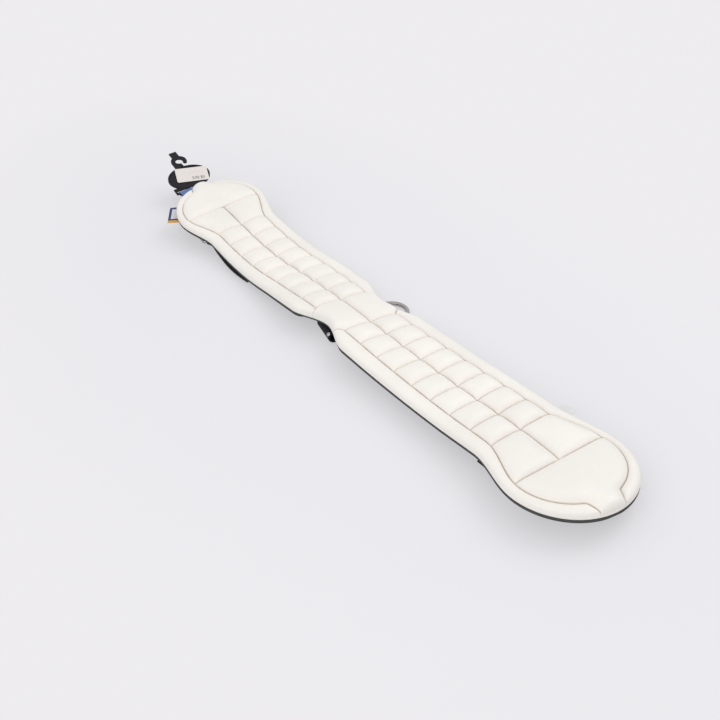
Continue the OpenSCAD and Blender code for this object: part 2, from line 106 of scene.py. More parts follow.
def camera_axes():
    """Right, up and forward of the camera: forward has the yaw and the downward pitch, and right and up are
    turned about it by the roll."""
    yaw, pitch, roll = (math.radians(a) for a in (CAMERA_YAW, CAMERA_PITCH, CAMERA_ROLL))
    forward = Vector((math.sin(yaw) * math.cos(pitch), math.cos(yaw) * math.cos(pitch), -math.sin(pitch)))
    level = Vector((math.cos(yaw), -math.sin(yaw), 0))
    upright = level.cross(forward)
    right = math.cos(roll) * level + math.sin(roll) * upright
    up = -math.sin(roll) * level + math.cos(roll) * upright
    return right, up, forward


def image_of(points):
    """Image points (n, 2) of places (n, 3)."""
    right, up, forward = (np.array(a) for a in camera_axes())
    d = np.asarray(points, float) - np.array(CAMERA_PLACE)
    k = max(FRAME_W, FRAME_H) * CAMERA_LENS / SENSOR / (d @ forward)
    return np.stack([FRAME_W / 2 + k * (d @ right), FRAME_H / 2 - k * (d @ up)], 1)


# ---------------------------------------------------------------- sizes and colours


def length(name, text, default):
    """A length property, in metres."""
    return bpy.props.FloatProperty(name=name, description=text, default=default, unit="LENGTH",
                                   subtype="DISTANCE", precision=4)


def colour(name, text, default):
    """A colour property, linear RGB."""
    return bpy.props.FloatVectorProperty(name=name, description=text, default=default, subtype="COLOR",
                                         size=3, min=0, max=1)


class GirthPadSizes(bpy.types.PropertyGroup):
    """Sizes of the quilted pad, as in the part's source."""
    half_len: length("Half length", "From the neck's middle to the pad's tip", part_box("pad_right")[1].x)
    rows: bpy.props.IntProperty(name="Rows", description="Cross rows of small cells in each half", default=8)
    neck_half: length("Neck panel", "Half length of the plain panel over the neck", 0.030)
    large_cell: length("Large cells", "Length of the large pair of cells", 0.050)
    dome_len: length("Dome", "Length of the end dome", 0.072)
    neck_w: length("Neck width", "Half width at the neck", 0.0375)
    shoulder_w: length("Shoulder width", "Half width at the shoulder", 0.052)
    shoulder_x: length("Shoulder place", "From the neck's middle to the shoulders", 0.052)
    waist_w: length("Waist width", "Half width in front of the lobe", 0.0483)
    lobe_w: length("Lobe width", "Half width of the end lobe", 0.0607)
    cell_w: length("Cell field", "Half width of the field of cells", 0.0342)
    rim_w: length("Rim", "Width of the rim beside the lobe", 0.0087)
    tongue_w: length("Tongue", "Half width of the dome's tongue at the tip", 0.0160)
    foam_t: length("Foam", "Thickness of the foam at a seam", 0.006)
    crown: length("Crown", "Height of a cell above its seams", 0.0082)
    rim_crown: length("Rim crown", "Height of the rim above its seam", 0.0034)
    backing_t: length("Backing", "Thickness of the dark backing", 0.0024)
    shell_t: length("Shell", "Thickness of the outer shell", 0.0016)
    webbing_t: length("Webbing", "Thickness of the load webbing", 0.0020)


class GirthStrapSizes(bpy.types.PropertyGroup):
    """Sizes of straps, elastics and their stitching."""
    strap_w: length("Cross strap", "Width of the cross strap", 0.038)
    elastic_w: length("Elastic", "Width of an elastic", 0.030)
    elastic_t: length("Elastic thickness", "Thickness of an elastic", 0.0023)
    ribbon_w: length("Ribbon", "Width of the hang tab's ribbon", 0.034)
    stitch: length("Stitch", "Pitch of the stitches", 0.0036)


class GirthColours(bpy.types.PropertyGroup):
    """Colours of the finishes."""
    cover: colour("Cover", "Ivory cover", (0.905, 0.862, 0.805))
    # painted shade: the cover's colour darkened for the shade in the depth of a seam; the cover's sewing thread
    # is tinted from it too
    seam: colour("Seam", "Cover in the depth of a seam", (0.60, 0.53, 0.45))
    backing: colour("Backing", "Dark backing", (0.050, 0.056, 0.048))
    shell: colour("Shell", "Outer shell", (0.022, 0.022, 0.025))
    webbing: colour("Webbing", "Webbing and elastics", (0.013, 0.013, 0.016))
    steel: colour("Steel", "Polished steel", (0.42, 0.405, 0.395))
    ribbon: colour("Ribbon", "Blue ribbon", (0.085, 0.165, 0.37))
    plastic: colour("Plastic", "Hanger", (0.009, 0.009, 0.012))
    paper: colour("Paper", "Price sticker", (0.80, 0.74, 0.70))
    label: colour("Label", "Edge label", (0.020, 0.045, 0.16))
    band: colour("Band", "Band of the edge label", (0.78, 0.40, 0.05))
    satin: colour("Satin", "Care label", (0.80, 0.79, 0.79))
    floor: colour("Floor", "Floor of the stage", (0.80, 0.79, 0.82))


# ---------------------------------------------------------------- form of the pad
def smooth(t):
    """0 to 1 with level ends: 3t^2 - 2t^3."""
    t = np.clip(t, 0, 1)
    return t * t * (3 - 2 * t)


def through(knots, x):
    """Smooth curve through knots (place, value): smoothstep between two knots, plus a cubic term that gives
    each inner knot the slope of the line between its neighbours."""
    px, pv = np.array(knots, float).T
    slope = np.zeros(len(px))
    slope[1:-1] = (pv[2:] - pv[:-2]) / (px[2:] - px[:-2])
    x = np.clip(x, px[0], px[-1])
    i = np.clip(np.searchsorted(px, x) - 1, 0, len(px) - 2)
    w = px[i + 1] - px[i]
    t = (x - px[i]) / w
    return (pv[i] + (pv[i + 1] - pv[i]) * t * t * (3 - 2 * t)
            + w * t * (1 - t) * ((1 - t) * slope[i] - t * slope[i + 1]))


def round_edge(d, r, full=2.0):
    """Quarter of a superellipse: 0 at distance d = 0, upright there, and 1 from distance r on. It is a circle
    where full is 2, and fuller above that."""
    t = np.clip(d / r, 0, 1)
    return (1 - (1 - t) ** full) ** (1 / full)


def clustered(n):
    """n + 1 places from 0 to 1, close together at both ends: half of 1 - cos."""
    return 0.5 - 0.5 * np.cos(np.pi * np.arange(n + 1) / n)


def distance_to(line, x, y):
    """Distance of points (x, y) from a polyline (k, 2): the nearest of its corners, then of the two pieces
    that meet there."""
    flat = np.stack([np.ravel(x), np.ravel(y)], 1)
    out = np.empty(len(flat))
    for start in range(0, len(flat), 4000):
        p = flat[start:start + 4000]
        near = ((p[:, None, :] - line[None]) ** 2).sum(2).argmin(1)
        best = np.full(len(p), 1e9)
        for a in (np.clip(near - 1, 0, len(line) - 2), np.clip(near, 0, len(line) - 2)):
            v = line[a + 1] - line[a]
            t = np.clip(((p - line[a]) * v).sum(1) / np.maximum((v * v).sum(1), 1e-18), 0, 1)
            best = np.minimum(best, np.linalg.norm(p - line[a] - t[:, None] * v, axis=1))
        out[start:start + 4000] = best
    return out.reshape(np.shape(x))


class PadForm:
    """Plan, lie and face of the pad, from its sizes. x runs along the girth, y across it, and h is the height
    over the seams, square to the surface on which the seams lie."""

    arc_start, flare_run, tip_rim = 0.005, 0.008, 0.013
    edge_drop, edge_tuck = 0.0024, 0.0006
    ply_gap = 0.00015
    turn_start = 0.0215          # where the rim's seam leaves the pad's edge beside the neck
    notch_len = 0.0140           # the two notches beside the tongue run out to the edge over this length
    tongue_draw = 0.0035         # the tongue narrows by this much on each side
    throat_round = 0.0030        # rounding of the seam where the notches begin
    tip_swing = -0.14            # angle by which the right lobe's quilting is swung at the tip

    def __init__(self, s):
        self.s = s
        self.pitch = (s.half_len - s.neck_half - s.large_cell - s.dome_len) / s.rows
        self.large_x = s.neck_half + s.rows * self.pitch
        self.dome_x = self.large_x + s.large_cell
        self.tip_x = s.half_len
        self.arc_x = self.dome_x + self.arc_start
        self.arc_len = self.tip_x - self.arc_x
        self.flare_x = self.large_x - self.flare_run
        row = lambda k: s.neck_half + k * self.pitch
        mm = lambda pairs: [(x, z * MM) for x, z in pairs]
        self.lie = mm([(-self.tip_x, 40), (-self.dome_x, 32.7), (-self.large_x, 25.5), (-row(6.2), 18),
                       (-row(4.5), 16), (-row(2.7), 19.5), (-s.neck_half, 23), (s.neck_half, 23),
                       (row(3), 22.5), (row(5.7), 24.5), (self.large_x, 28), (self.dome_x, 26.7),
                       (self.tip_x, 30)])
        self.tilts = [(-self.tip_x, 2), (-self.dome_x, 2), (-row(5.7), 0.2), (-row(2.3), -4),
                      (-s.neck_half, -8), (s.neck_half, -8), (row(2.3), -4.5), (row(5.7), -0.8),
                      (self.large_x, -1), (self.dome_x, -3.8), (self.tip_x, -2.5)]
        self.shell_depth = s.foam_t + s.backing_t + s.shell_t + 2 * self.ply_gap
        self.web_depth = self.shell_depth + s.webbing_t + self.ply_gap

    def level(self, x):
        return through(self.lie, x)

    def roll(self, x):
        return np.radians(through(self.tilts, x))

    def flare(self, a):
        """0 in front of the lobe to 1 where its ellipse begins."""
        return smooth((a - self.flare_x) / (self.arc_x - self.flare_x))

    def outline(self, x):
        """Half width of the pad: smoothstep from neck to shoulder, a straight taper to the waist, smoothstep to
        the lobe, and a half ellipse to the tip."""
        s, a = self.s, np.abs(x)
        ellipse = s.lobe_w * np.sqrt(np.maximum(0, 1 - ((a - self.arc_x) / self.arc_len) ** 2))
        return np.select(
            [a < s.shoulder_x, a < self.flare_x, a < self.arc_x],
            [s.neck_w + (s.shoulder_w - s.neck_w) * smooth(a / s.shoulder_x),
             s.shoulder_w + (s.waist_w - s.shoulder_w) * (a - s.shoulder_x) / (self.flare_x - s.shoulder_x),
             s.waist_w + (s.lobe_w - s.waist_w) * self.flare(a)],
            ellipse)

    def drawn_in(self, x, by):
        """Half width of the outline drawn in by a distance, which also shortens the tip."""
        lobe = (self.s.lobe_w - by) * np.sqrt(np.maximum(0, 1 - ((x - self.arc_x) / (self.arc_len - by)) ** 2))
        return float(np.where(x < self.arc_x, self.outline(x) - by, lobe))

    def rim_seam(self, x):
        """Half width of the seam between cells and rim: it turns in from the edge beside the neck, follows the
        cells, runs round the dome on an ellipse, and turns out to the edge beside the tongue."""
        s, a = self.s, np.abs(x)
        far = s.lobe_w - s.rim_w
        half = self.arc_len - self.tip_rim
        ellipse = far * np.sqrt(np.maximum(0, 1 - ((a - self.arc_x) / half) ** 2))
        throat = self.arc_x + half * math.sqrt(1 - (s.tongue_w / far) ** 2)
        turn = np.clip((s.neck_half - a) / (s.neck_half - self.turn_start), 0, 1)
        out = s.cell_w + (self.outline(self.turn_start) - s.cell_w) * turn ** 1.6
        notch = np.clip((a - throat) / self.notch_len, 0, 1)
        tongue = s.tongue_w - self.tongue_draw * smooth(notch)
        lobe = (ellipse + tongue + np.hypot(ellipse - tongue, self.throat_round)) / 2
        return np.select(
            [a < s.neck_half, a < self.flare_x, a < self.arc_x],
            [out, s.cell_w + 0 * a, s.cell_w + (far - s.cell_w) * self.flare(a)], lobe)

    def rim_span(self):
        """Distances from the neck's middle between which the rim runs."""
        s = self.s
        end = self.arc_x + self.arc_len * math.sqrt(1 - ((s.tongue_w - self.tongue_draw) / s.lobe_w) ** 2)
        return self.turn_start, end

    def swung(self, x, y):
        """Points of the right lobe slid along its ellipses toward the near side: the angle on the ellipse
        changes by tip_swing cos^2, which leaves the outline as it is."""
        u, v = np.maximum(x - self.arc_x, 0) / self.arc_len, y / self.s.lobe_w
        size, angle = np.hypot(u, v), np.arctan2(v, u)
        angle = angle + self.tip_swing * np.cos(angle) ** 2
        return (np.where(x > self.arc_x, self.arc_x + self.arc_len * size * np.cos(angle), x),
                np.where(x > self.arc_x, self.s.lobe_w * size * np.sin(angle), y))

    def laid(self, x, y, h):
        """Place of a point of the pad: turned by the roll about the long axis, then raised to the level."""
        x, y, h = np.broadcast_arrays(np.asarray(x, float), y, h)
        x, y = self.swung(x, y)
        r = self.roll(x)
        return np.stack([x, y * np.cos(r) - h * np.sin(r), self.level(x) + y * np.sin(r) + h * np.cos(r)], -1)

    def seam_places(self):
        """Distances of the cross seams from the neck's middle."""
        return np.array([self.s.neck_half + i * self.pitch for i in range(self.s.rows + 1)] + [self.dome_x])

    def seam_curves(self):
        """The seams of one half in plan, as polylines (k, 2): centre, two rim seams and the cross seams."""
        start, end = self.rim_span()
        a = np.concatenate([np.linspace(start, self.s.neck_half, 24)[:-1],
                            np.linspace(self.s.neck_half, self.arc_x, 190)[:-1],
                            self.arc_x + (end - self.arc_x) * np.sin(np.linspace(0, np.pi / 2, 160))])
        rim = np.stack([a, self.rim_seam(a)], 1)
        across = [np.stack([np.full(30, x), np.linspace(-1, 1, 30) * self.rim_seam(x)], 1)
                  for x in self.seam_places()]
        centre = np.stack([np.linspace(0, self.dome_x, 200), np.zeros(200)], 1)
        return {"rim": rim, "centre": centre, "across": across}

    def face(self, x, y, curves):
        """Height of the cover over the seams and the distance to the nearest seam. Each padded field stands on
        the product of a quarter circle per seam beside it, with a shallow dome on top, and everything falls to
        the widest line on a quarter circle at the edge."""
        s, a, b = self.s, np.abs(x), np.abs(y)
        start, end = self.rim_span()
        seam_y, edge_y = self.rim_seam(a), self.outline(a)
        d_rim = distance_to(curves["rim"], a, b)
        t = np.linspace(0, np.pi / 2, 240)
        edge = np.concatenate([np.stack([u := np.linspace(0, self.arc_x, 500), self.outline(u)], 1)[:-1],
                               np.stack([self.arc_x + self.arc_len * np.sin(t), s.lobe_w * np.cos(t)], 1)])
        d_edge = distance_to(edge, a, b)
        in_rim = (a > start) & (a < end) & (b > seam_y)
        places = np.concatenate([[-s.neck_half], self.seam_places()])
        i = np.clip(np.searchsorted(places, a) - 1, 0, len(places) - 1)
        low = places[i]
        high = np.append(places, self.tip_x * 2)[i + 1]
        d_low, d_high = a - low, high - a
        d_centre = np.where(a < self.dome_x, b, 1.0)
        r_cell, r_rim = 0.0110, 0.0062
        pillow = np.prod([round_edge(d, r_cell, 2.3) for d in (d_low, d_high, d_centre, d_rim)], axis=0)
        u = np.clip(d_low / np.minimum(high - low, 0.09), 0, 1)
        v = np.where(a < self.dome_x, np.clip(b / np.maximum(np.minimum(seam_y, edge_y), 1e-6), 0, 1),
                     0.5 + 0.5 * np.clip(b / np.maximum(seam_y, 1e-6), 0, 1))
        dome = 16 * u * (1 - u) * v * (1 - v)
        core = s.crown * pillow * (0.72 + 0.28 * np.clip(dome, 0, 1))
        rim = s.rim_crown * round_edge(d_rim, r_rim)
        h = np.where(in_rim, rim, core)
        r_edge = np.clip(0.45 * np.abs(edge_y - seam_y) + 0.002, 0.0045, 0.0075)
        h = -self.edge_drop + (h + self.edge_drop) * round_edge(d_edge, r_edge)
        d_seam = np.where(in_rim, d_rim, np.minimum.reduce([d_rim, d_low, d_high, d_centre]))
        return h, d_seam, d_edge


# ---------------------------------------------------------------- meshes
def grid_faces(m, n):
    """Quads of an m by n grid of vertices."""
    i, j = np.meshgrid(np.arange(m - 1), np.arange(n - 1), indexing="ij")
    a = i * n + j
    return np.stack([a, a + n, a + n + 1, a + 1], -1).reshape(-1, 4)


def mesh_object(name, places, quads, uv=None, values=None, material=None):
    """An object at the origin from places (n, 3) and quads (k, 4), with a UV and values per vertex."""
    mesh = bpy.data.meshes.new(name)
    mesh.vertices.add(len(places))
    mesh.vertices.foreach_set("co", np.ascontiguousarray(places, np.float32).ravel())
    mesh.loops.add(quads.size)
    mesh.loops.foreach_set("vertex_index", quads.ravel().astype(np.int32))
    mesh.polygons.add(len(quads))
    mesh.polygons.foreach_set("loop_start", np.arange(0, quads.size, 4, dtype=np.int32))
    mesh.update(calc_edges=True)
    if uv is not None:
        layer = mesh.uv_layers.new(name="cloth")
        layer.data.foreach_set("uv", uv[quads.ravel()].astype(np.float32).ravel())
    for key, value in (values or {}).items():
        mesh.attributes.new(key, "FLOAT", "POINT").data.foreach_set("value", value.astype(np.float32))
    mesh.polygons.foreach_set("use_smooth", np.ones(len(quads), bool))
    obj = bpy.data.objects.new(name, mesh)
    bpy.context.scene.collection.objects.link(obj)
    if material:
        mesh.materials.append(material)
    return obj


def cleaned(obj, distance=2e-6, sharp=None):
    """Merges vertices closer than distance, drops the faces that this closes up, and keeps smooth shading
    off the edges that bend by more than sharp degrees."""
    bm = bmesh.new()
    bm.from_mesh(obj.data)
    bmesh.ops.remove_doubles(bm, verts=bm.verts, dist=distance)
    bmesh.ops.dissolve_degenerate(bm, edges=bm.edges, dist=distance / 2)
    if sharp:
        bm.normal_update()
        for e in bm.edges:
            e.smooth = len(e.link_faces) == 2 and e.calc_face_angle(0.0) < math.radians(sharp)
    bm.to_mesh(obj.data)
    bm.free()
    return obj


def plate(name, top, bottom, uv, values=None, material=None, sharp=50, keep=None):
    """A closed piece between two grids of places (m, n, 3) that share their count. keep (m - 1, n - 1) says
    which quads of the grids are there. Walls join their borders, and places that coincide are merged."""
    m, n = top.shape[:2]
    count = m * n
    face = grid_faces(m, n)
    if keep is not None:
        face = face[keep.ravel()]
    sides = np.concatenate([face[:, [i, (i + 1) % 4]] for i in range(4)])
    code, back = sides[:, 0] * count + sides[:, 1], sides[:, 1] * count + sides[:, 0]
    p, q = sides[~np.isin(code, back)].T
    walls = np.stack([q, p, p + count, q + count], -1)
    quads = np.concatenate([face, face[:, ::-1] + count, walls])
    places = np.concatenate([top.reshape(-1, 3), bottom.reshape(-1, 3)])
    i, j = m // 2, n // 2
    normal = np.cross(top[i, j] - top[i - 1, j], top[i, j] - top[i, j - 1])
    if normal @ (top[i, j] - bottom[i, j]) < 0:
        quads = quads[:, ::-1]
    uv2 = np.concatenate([uv.reshape(-1, 2)] * 2)
    values2 = {k: np.concatenate([v.ravel()] * 2) for k, v in (values or {}).items()}
    obj = mesh_object(name, places, quads, uv2, values2, material)
    return cleaned(obj, sharp=sharp)


def rounded(count, width, thick):
    """Places across a strap and the half thickness there: full, with a half circle at both edges."""
    r = thick / 2
    turn = r - r * np.cos(np.linspace(0, np.pi / 2, 5))
    v = np.concatenate([turn, np.linspace(r, width - r, count)[1:-1], width - turn[::-1]]) - width / 2
    d = np.minimum(v + width / 2, width / 2 - v)
    return v, r * round_edge(d, r)


def way_along(line):
    """Length of a polyline (k, n) up to each of its corners."""
    return np.concatenate([[0], np.cumsum(np.linalg.norm(np.diff(line, axis=0), axis=1))])


def band(name, line, normal, across, width, thick, material, count=9, keep=None, sharp=60):
    """A strap along line (k, 3): each section lies along across, is thick along normal (k, 3), and has rounded
    edges. UV is the way along the line and across it, in metres; keep(s, v) says where the strap is there."""
    v, half = rounded(count, width, thick)
    middle = line[:, None, :] + np.asarray(across, float) * v[None, :, None]
    lift = normal[:, None, :] * half[None, :, None]
    s = way_along(line)
    uv = np.stack(np.broadcast_arrays(s[:, None], v[None, :]), -1)
    if keep is not None:
        keep = keep((s[1:, None] + s[:-1, None]) / 2, (v[None, 1:] + v[None, :-1]) / 2)
    return plate(name, middle + lift, middle - lift, uv, None, material, sharp, keep)


def turned(path, axes):
    """Line, normals and tangents in space of a plane path (k, 2), with axes = (place, along, up)."""
    place, along, up = (np.array(a, float) for a in axes)
    path = np.asarray(path, float)
    tangent = np.gradient(path, axis=0)
    tangent /= np.linalg.norm(tangent, axis=1)[:, None]
    line = place + path[:, :1] * along + path[:, 1:] * up
    normal = -tangent[:, 1:] * along + tangent[:, :1] * up
    return line, normal


def arc(cx, cz, r, start, end, n):
    """Points of a circle in a plane, angles in degrees."""
    a = np.radians(np.linspace(start, end, n + 1))
    return np.stack([cx + r * np.cos(a), cz + r * np.sin(a)], 1)


def even(path, step):
    """The same plane or space path with a point about every step, its corners kept."""
    path = np.asarray(path, float)
    parts = []
    for a, b in zip(path[:-1], path[1:]):
        n = max(1, int(round(np.linalg.norm(b - a) / step)))
        parts.append(a + (b - a) * np.arange(n)[:, None] / n)
    return np.concatenate(parts + [path[-1:]])


def every(line, pitch):
    """Places every pitch along a space line."""
    way = way_along(line)
    t = np.linspace(0, way[-1], max(2, int(round(way[-1] / pitch))) + 1)
    return np.stack([np.interp(t, way, q) for q in line.T], 1)


def stitches(name, runs, material, up=-1, radius=0.00028, bow=0.0003):
    """Sewn thread on the upper or the under side: for each run of places a row of bowed, pointed stitches. A
    stitch from A to B is A + (B - A)s + N bow sin(pi s), with a round section whose radius goes as the root of
    sin(pi s). A stitch covers share of the way from one place to the next."""
    rings, sides, share, up = 7, 6, 0.72, up * Z_UP
    s = np.linspace(0, 1, rings)
    arch = np.maximum(np.sin(np.pi * s), 0)
    turn = (np.arange(sides) * 2 * np.pi / sides)[None, None, :, None]
    places = []
    for p in runs:
        trim = (p[1:] - p[:-1]) * (1 - share) / 2
        a, b = p[:-1] + trim, p[1:] - trim
        side = np.cross(b - a, up)
        side /= np.maximum(np.linalg.norm(side, axis=1), 1e-12)[:, None]
        centre = a[:, None] + (b - a)[:, None] * s[None, :, None] + up * (bow * arch)[None, :, None]
        swell = (radius * np.sqrt(arch))[None, :, None, None]
        ring = centre[:, :, None] + swell * (np.cos(turn) * side[:, None, None] + np.sin(turn) * up)
        places.append(ring.reshape(-1, 3))
    places = np.concatenate(places)
    i, j = np.meshgrid(np.arange(rings - 1), np.arange(sides), indexing="ij")
    k = (j + 1) % sides
    one = np.stack([i * sides + j, i * sides + k, (i + 1) * sides + k, (i + 1) * sides + j], -1).reshape(-1, 4)
    first = np.arange(0, len(places), rings * sides)[:, None, None]
    return cleaned(mesh_object(name, places, (first + one[None]).reshape(-1, 4), material=material), 1e-7)


# ---------------------------------------------------------------- finishes


class Nodes:
    """A node tree, built node by node."""

    def __init__(self, tree):
        self.tree = tree

    def node(self, kind, inputs=None, **settings):
        n = self.tree.nodes.new("ShaderNode" + kind)
        for key, value in settings.items():
            setattr(n, key, value)
        for key, value in (inputs or {}).items():
            self.feed(n.inputs[key], value)
        return n

    def feed(self, socket, value):
        """Links a socket to another, or gives it a number or a colour."""
        if isinstance(value, bpy.types.NodeSocket):
            self.tree.links.new(value, socket)
            return
        if not isinstance(value, (int, float)):
            value = tuple(value)
            if len(value) == 3 and len(socket.default_value) == 4:
                value += (1.0,)
        socket.default_value = value

    def math(self, operation, a, b=0.0):
        return self.node("Math", {0: a, 1: b}, operation=operation).outputs[0]

    def plain_rays(self):
        """1 for the rays that see the plain background: the camera's, mirrored ones and those through glass."""
        path = self.node("LightPath").outputs
        return self.math("MAXIMUM", path["Is Camera Ray"],
                         self.math("MAXIMUM", path["Is Glossy Ray"], path["Is Transmission Ray"]))


class Finish(Nodes):
    """A material."""

    def __init__(self, name):
        self.mat = bpy.data.materials.new(name)
        self.mat.use_nodes = True
        super().__init__(self.mat.node_tree)
        self.shader = self.tree.nodes["Principled BSDF"]

    def set(self, **inputs):
        """Feeds the shader's inputs, with _ for a space in a name, and gives the material."""
        for key, value in inputs.items():
            self.feed(self.shader.inputs[key.replace("_", " ")], value)
        return self.mat

    def place(self, scale=(1, 1, 1), turn=0.0):
        """Object coordinates, scaled and turned about Z."""
        return self.node("Mapping", {"Vector": self.node("TexCoord").outputs["Object"], "Scale": scale,
                                     "Rotation": (0, 0, turn)}).outputs["Vector"]

    def cloth(self):
        """The piece's own UV, in metres."""
        return self.node("UVMap", uv_map="cloth").outputs["UV"]

    def split(self, vector):
        """X and Y of a vector."""
        return self.node("SeparateXYZ", {0: vector}).outputs[:2]

    def noise(self, vector, scale, detail=3.0, rough=0.55):
        return self.node("TexNoise", {"Vector": vector, "Scale": scale, "Detail": detail,
                                      "Roughness": rough}).outputs["Fac"]

    def cells(self, vector, scale, kind="F1"):
        """Distance to the middle of the nearest of many small cells."""
        return self.node("TexVoronoi", {"Vector": vector, "Scale": scale}, feature=kind).outputs["Distance"]

    def spread(self, value, low, high, to_low=0.0, to_high=1.0):
        """Value from low..high brought to to_low..to_high, held at the ends."""
        return self.node("MapRange", {"Value": value, "From Min": low, "From Max": high,
                                      "To Min": to_low, "To Max": to_high}).outputs["Result"]

    def mix(self, factor, a, b, mode="MIX"):
        n = self.node("Mix", data_type="RGBA", blend_type=mode)
        for key, value in (("Factor_Float", factor), ("A_Color", a), ("B_Color", b)):
            self.feed(next(i for i in n.inputs if i.identifier == key), value)
        return next(o for o in n.outputs if o.identifier == "Result_Color")

    def shades(self, factor, colour, dark, light):
        """From a colour times dark to the same colour times light."""
        return self.mix(factor, tinted(colour, dark), tinted(colour, light))

    def value(self, name):
        """A value kept on the mesh."""
        return self.node("Attribute", attribute_name=name).outputs["Fac"]

    def bump(self, height, depth, under=None):
        """Bump of a height from 0 to 1 that stands depth metres deep."""
        inputs = {"Height": height, "Distance": depth}
        if under is not None:
            inputs["Normal"] = under
        return self.node("Bump", inputs).outputs["Normal"]

    def wave(self, value, count):
        """Stripes of a value: count of them per metre."""
        return self.spread(self.math("SINE", self.math("MULTIPLY", value, 2 * math.pi * count)), -1, 1)

    def between(self, value, low, high):
        """1 where value lies between low and high, else 0."""
        return self.math("MULTIPLY", self.math("GREATER_THAN", value, low), self.math("LESS_THAN", value, high))


def tinted(c, k):
    """A colour times k."""
    return tuple(min(1.0, v * k) for v in c[:3])


def cover_finish(colours):
    """Ivory synthetic leather: pebble grain, soft blotches, small puckers, and sunken seams darkened with
    painted shade in the groove and beside it; the edge and side wall also carry painted shade.
    """
    f = Finish("ivory_cover")
    place = f.place()
    blotch = f.noise(place, 16, 3)
    seam_mm, edge_mm = f.value("seam_mm"), f.value("edge_mm")
    # painted shade: within 5 mm of a seam the cover darkens a little toward the seam colour, where the pillows
    # fall into the groove
    seam_shade_halo = f.spread(seam_mm, 0.0, 5.0, 1.0, 0.0)
    base = f.shades(f.spread(blotch, 0.35, 0.65), colours.cover, 0.97, 1.02)
    base = f.mix(f.math("MULTIPLY", seam_shade_halo, 0.12), base, tinted(colours.seam, 1.35))
    # painted shade: the seam colour fills the last 0.75 mm of the groove, the shade of the crease
    base = f.mix(f.math("MULTIPLY", f.spread(seam_mm, 0.05, 0.75, 1.0, 0.0), 0.85), base, colours.seam)
    # painted shade: the last 1.6 mm of the top before the edge and the whole side wall below it are darkened
    base = f.mix(f.spread(edge_mm, 0.0, 1.6, 0.35, 0.0), base, tinted(colours.cover, 0.78))
    near = f.math("POWER", f.spread(seam_mm, 0.0, 6.0, 1.0, 0.0), 2.0)
    normal = None
    for height, depth in ((f.cells(place, 820, "SMOOTH_F1"), 0.00012), (f.noise(place, 2600, 2), 0.00003),
                          (f.noise(place, 240, 4, 0.6), 0.00010),
                          (f.math("MULTIPLY", near, f.noise(place, 170, 2)), 0.0008)):
        normal = f.bump(height, depth, normal)
    return f.set(Base_Color=base, Normal=normal, Roughness=f.spread(blotch, 0.3, 0.7, 0.43, 0.52),
                 Specular_IOR_Level=0.42, Coat_Weight=0.06, Coat_Roughness=0.35)


def thread_finish(name, colour):
    """Twisted thread: slanting plies along the piece."""
    f = Finish(name)
    ply = f.wave(f.split(f.place(turn=0.8))[0], 1800)
    # painted shade and highlight: the thread's colour follows its plies, lighter on each crest and darker
    # between them
    return f.set(Base_Color=f.shades(ply, colour, 0.86, 1.06), Normal=f.bump(ply, 0.00006),
                 Roughness=f.spread(ply, 0, 1, 0.5, 0.62))


def backing_finish(colours):
    """Closed-cell foam sheet: fine pores and a dull grey-green."""
    f = Finish("backing_foam")
    place = f.place()
    pores = f.cells(place, 1500)
    return f.set(Base_Color=f.shades(f.noise(place, 40, 4), colours.backing, 0.75, 1.3),
                 Normal=f.bump(pores, 0.0001), Roughness=f.spread(pores, 0, 0.6, 0.72, 0.9))


def weave_finish(name, colour, warp, weft, depth, twill=0.0, rough=(0.6, 0.8), shine=0.15):
    """Woven cloth on the piece's own UV: threads along and across that take turns on top; twill slides each
    row on, which gives slanting ribs."""
    f = Finish(name)
    along, across = f.split(f.cloth())
    slid = f.math("ADD", along, f.math("MULTIPLY", across, twill))
    a = f.math("SINE", f.math("MULTIPLY", slid, math.pi * warp))
    b = f.math("SINE", f.math("MULTIPLY", across, math.pi * weft))
    cross = f.spread(f.math("MULTIPLY", a, b), -1, 1)
    height = f.math("ADD", f.math("MULTIPLY", cross, 0.6), f.math("MULTIPLY", f.math("ABSOLUTE", b), 0.4))
    # painted shade and highlight: the cloth's colour follows the weave's height, darker where the threads dip
    # and lighter where they cross on top
    base = f.shades(height, colour, 0.55, 1.35)
    base = f.mix(f.spread(f.noise(f.place(), 55, 3), 0.3, 0.7, 0.0, 0.25), base, tinted(colour, 1.6))
    fuzz = f.noise(f.place(), 900, 3)
    return f.set(Base_Color=base, Normal=f.bump(fuzz, 0.00004, f.bump(height, depth)),
                 Roughness=f.spread(height, 0, 1, rough[1], rough[0]), Specular_IOR_Level=shine,
                 Sheen_Weight=0.03, Sheen_Roughness=0.4)


def steel_finish(colours, name="bright_steel", rough=(0.12, 0.22)):
    """Polished steel with faint drawing lines and clouds of handling marks."""
    f = Finish(name)
    lines = f.noise(f.place(scale=(1, 12, 1)), 420, 4)
    return f.set(Base_Color=f.shades(f.noise(f.place(), 130, 3), colours.steel, 0.88, 1.12), Metallic=1.0,
                 Roughness=f.spread(lines, 0.3, 0.7, *rough), Normal=f.bump(lines, 0.000015))


def plastic_finish(colours):
    """Moulded plastic: fine spark-eroded grain and faint flow marks."""
    f = Finish("hanger_plastic")
    flow = f.noise(f.place(scale=(1, 3, 1)), 60, 4)
    return f.set(Base_Color=f.shades(flow, colours.plastic, 0.8, 1.5),
                 Normal=f.bump(f.cells(f.place(), 1900), 0.00005),
                 Roughness=f.spread(flow, 0.3, 0.7, 0.42, 0.56), Specular_IOR_Level=0.2)


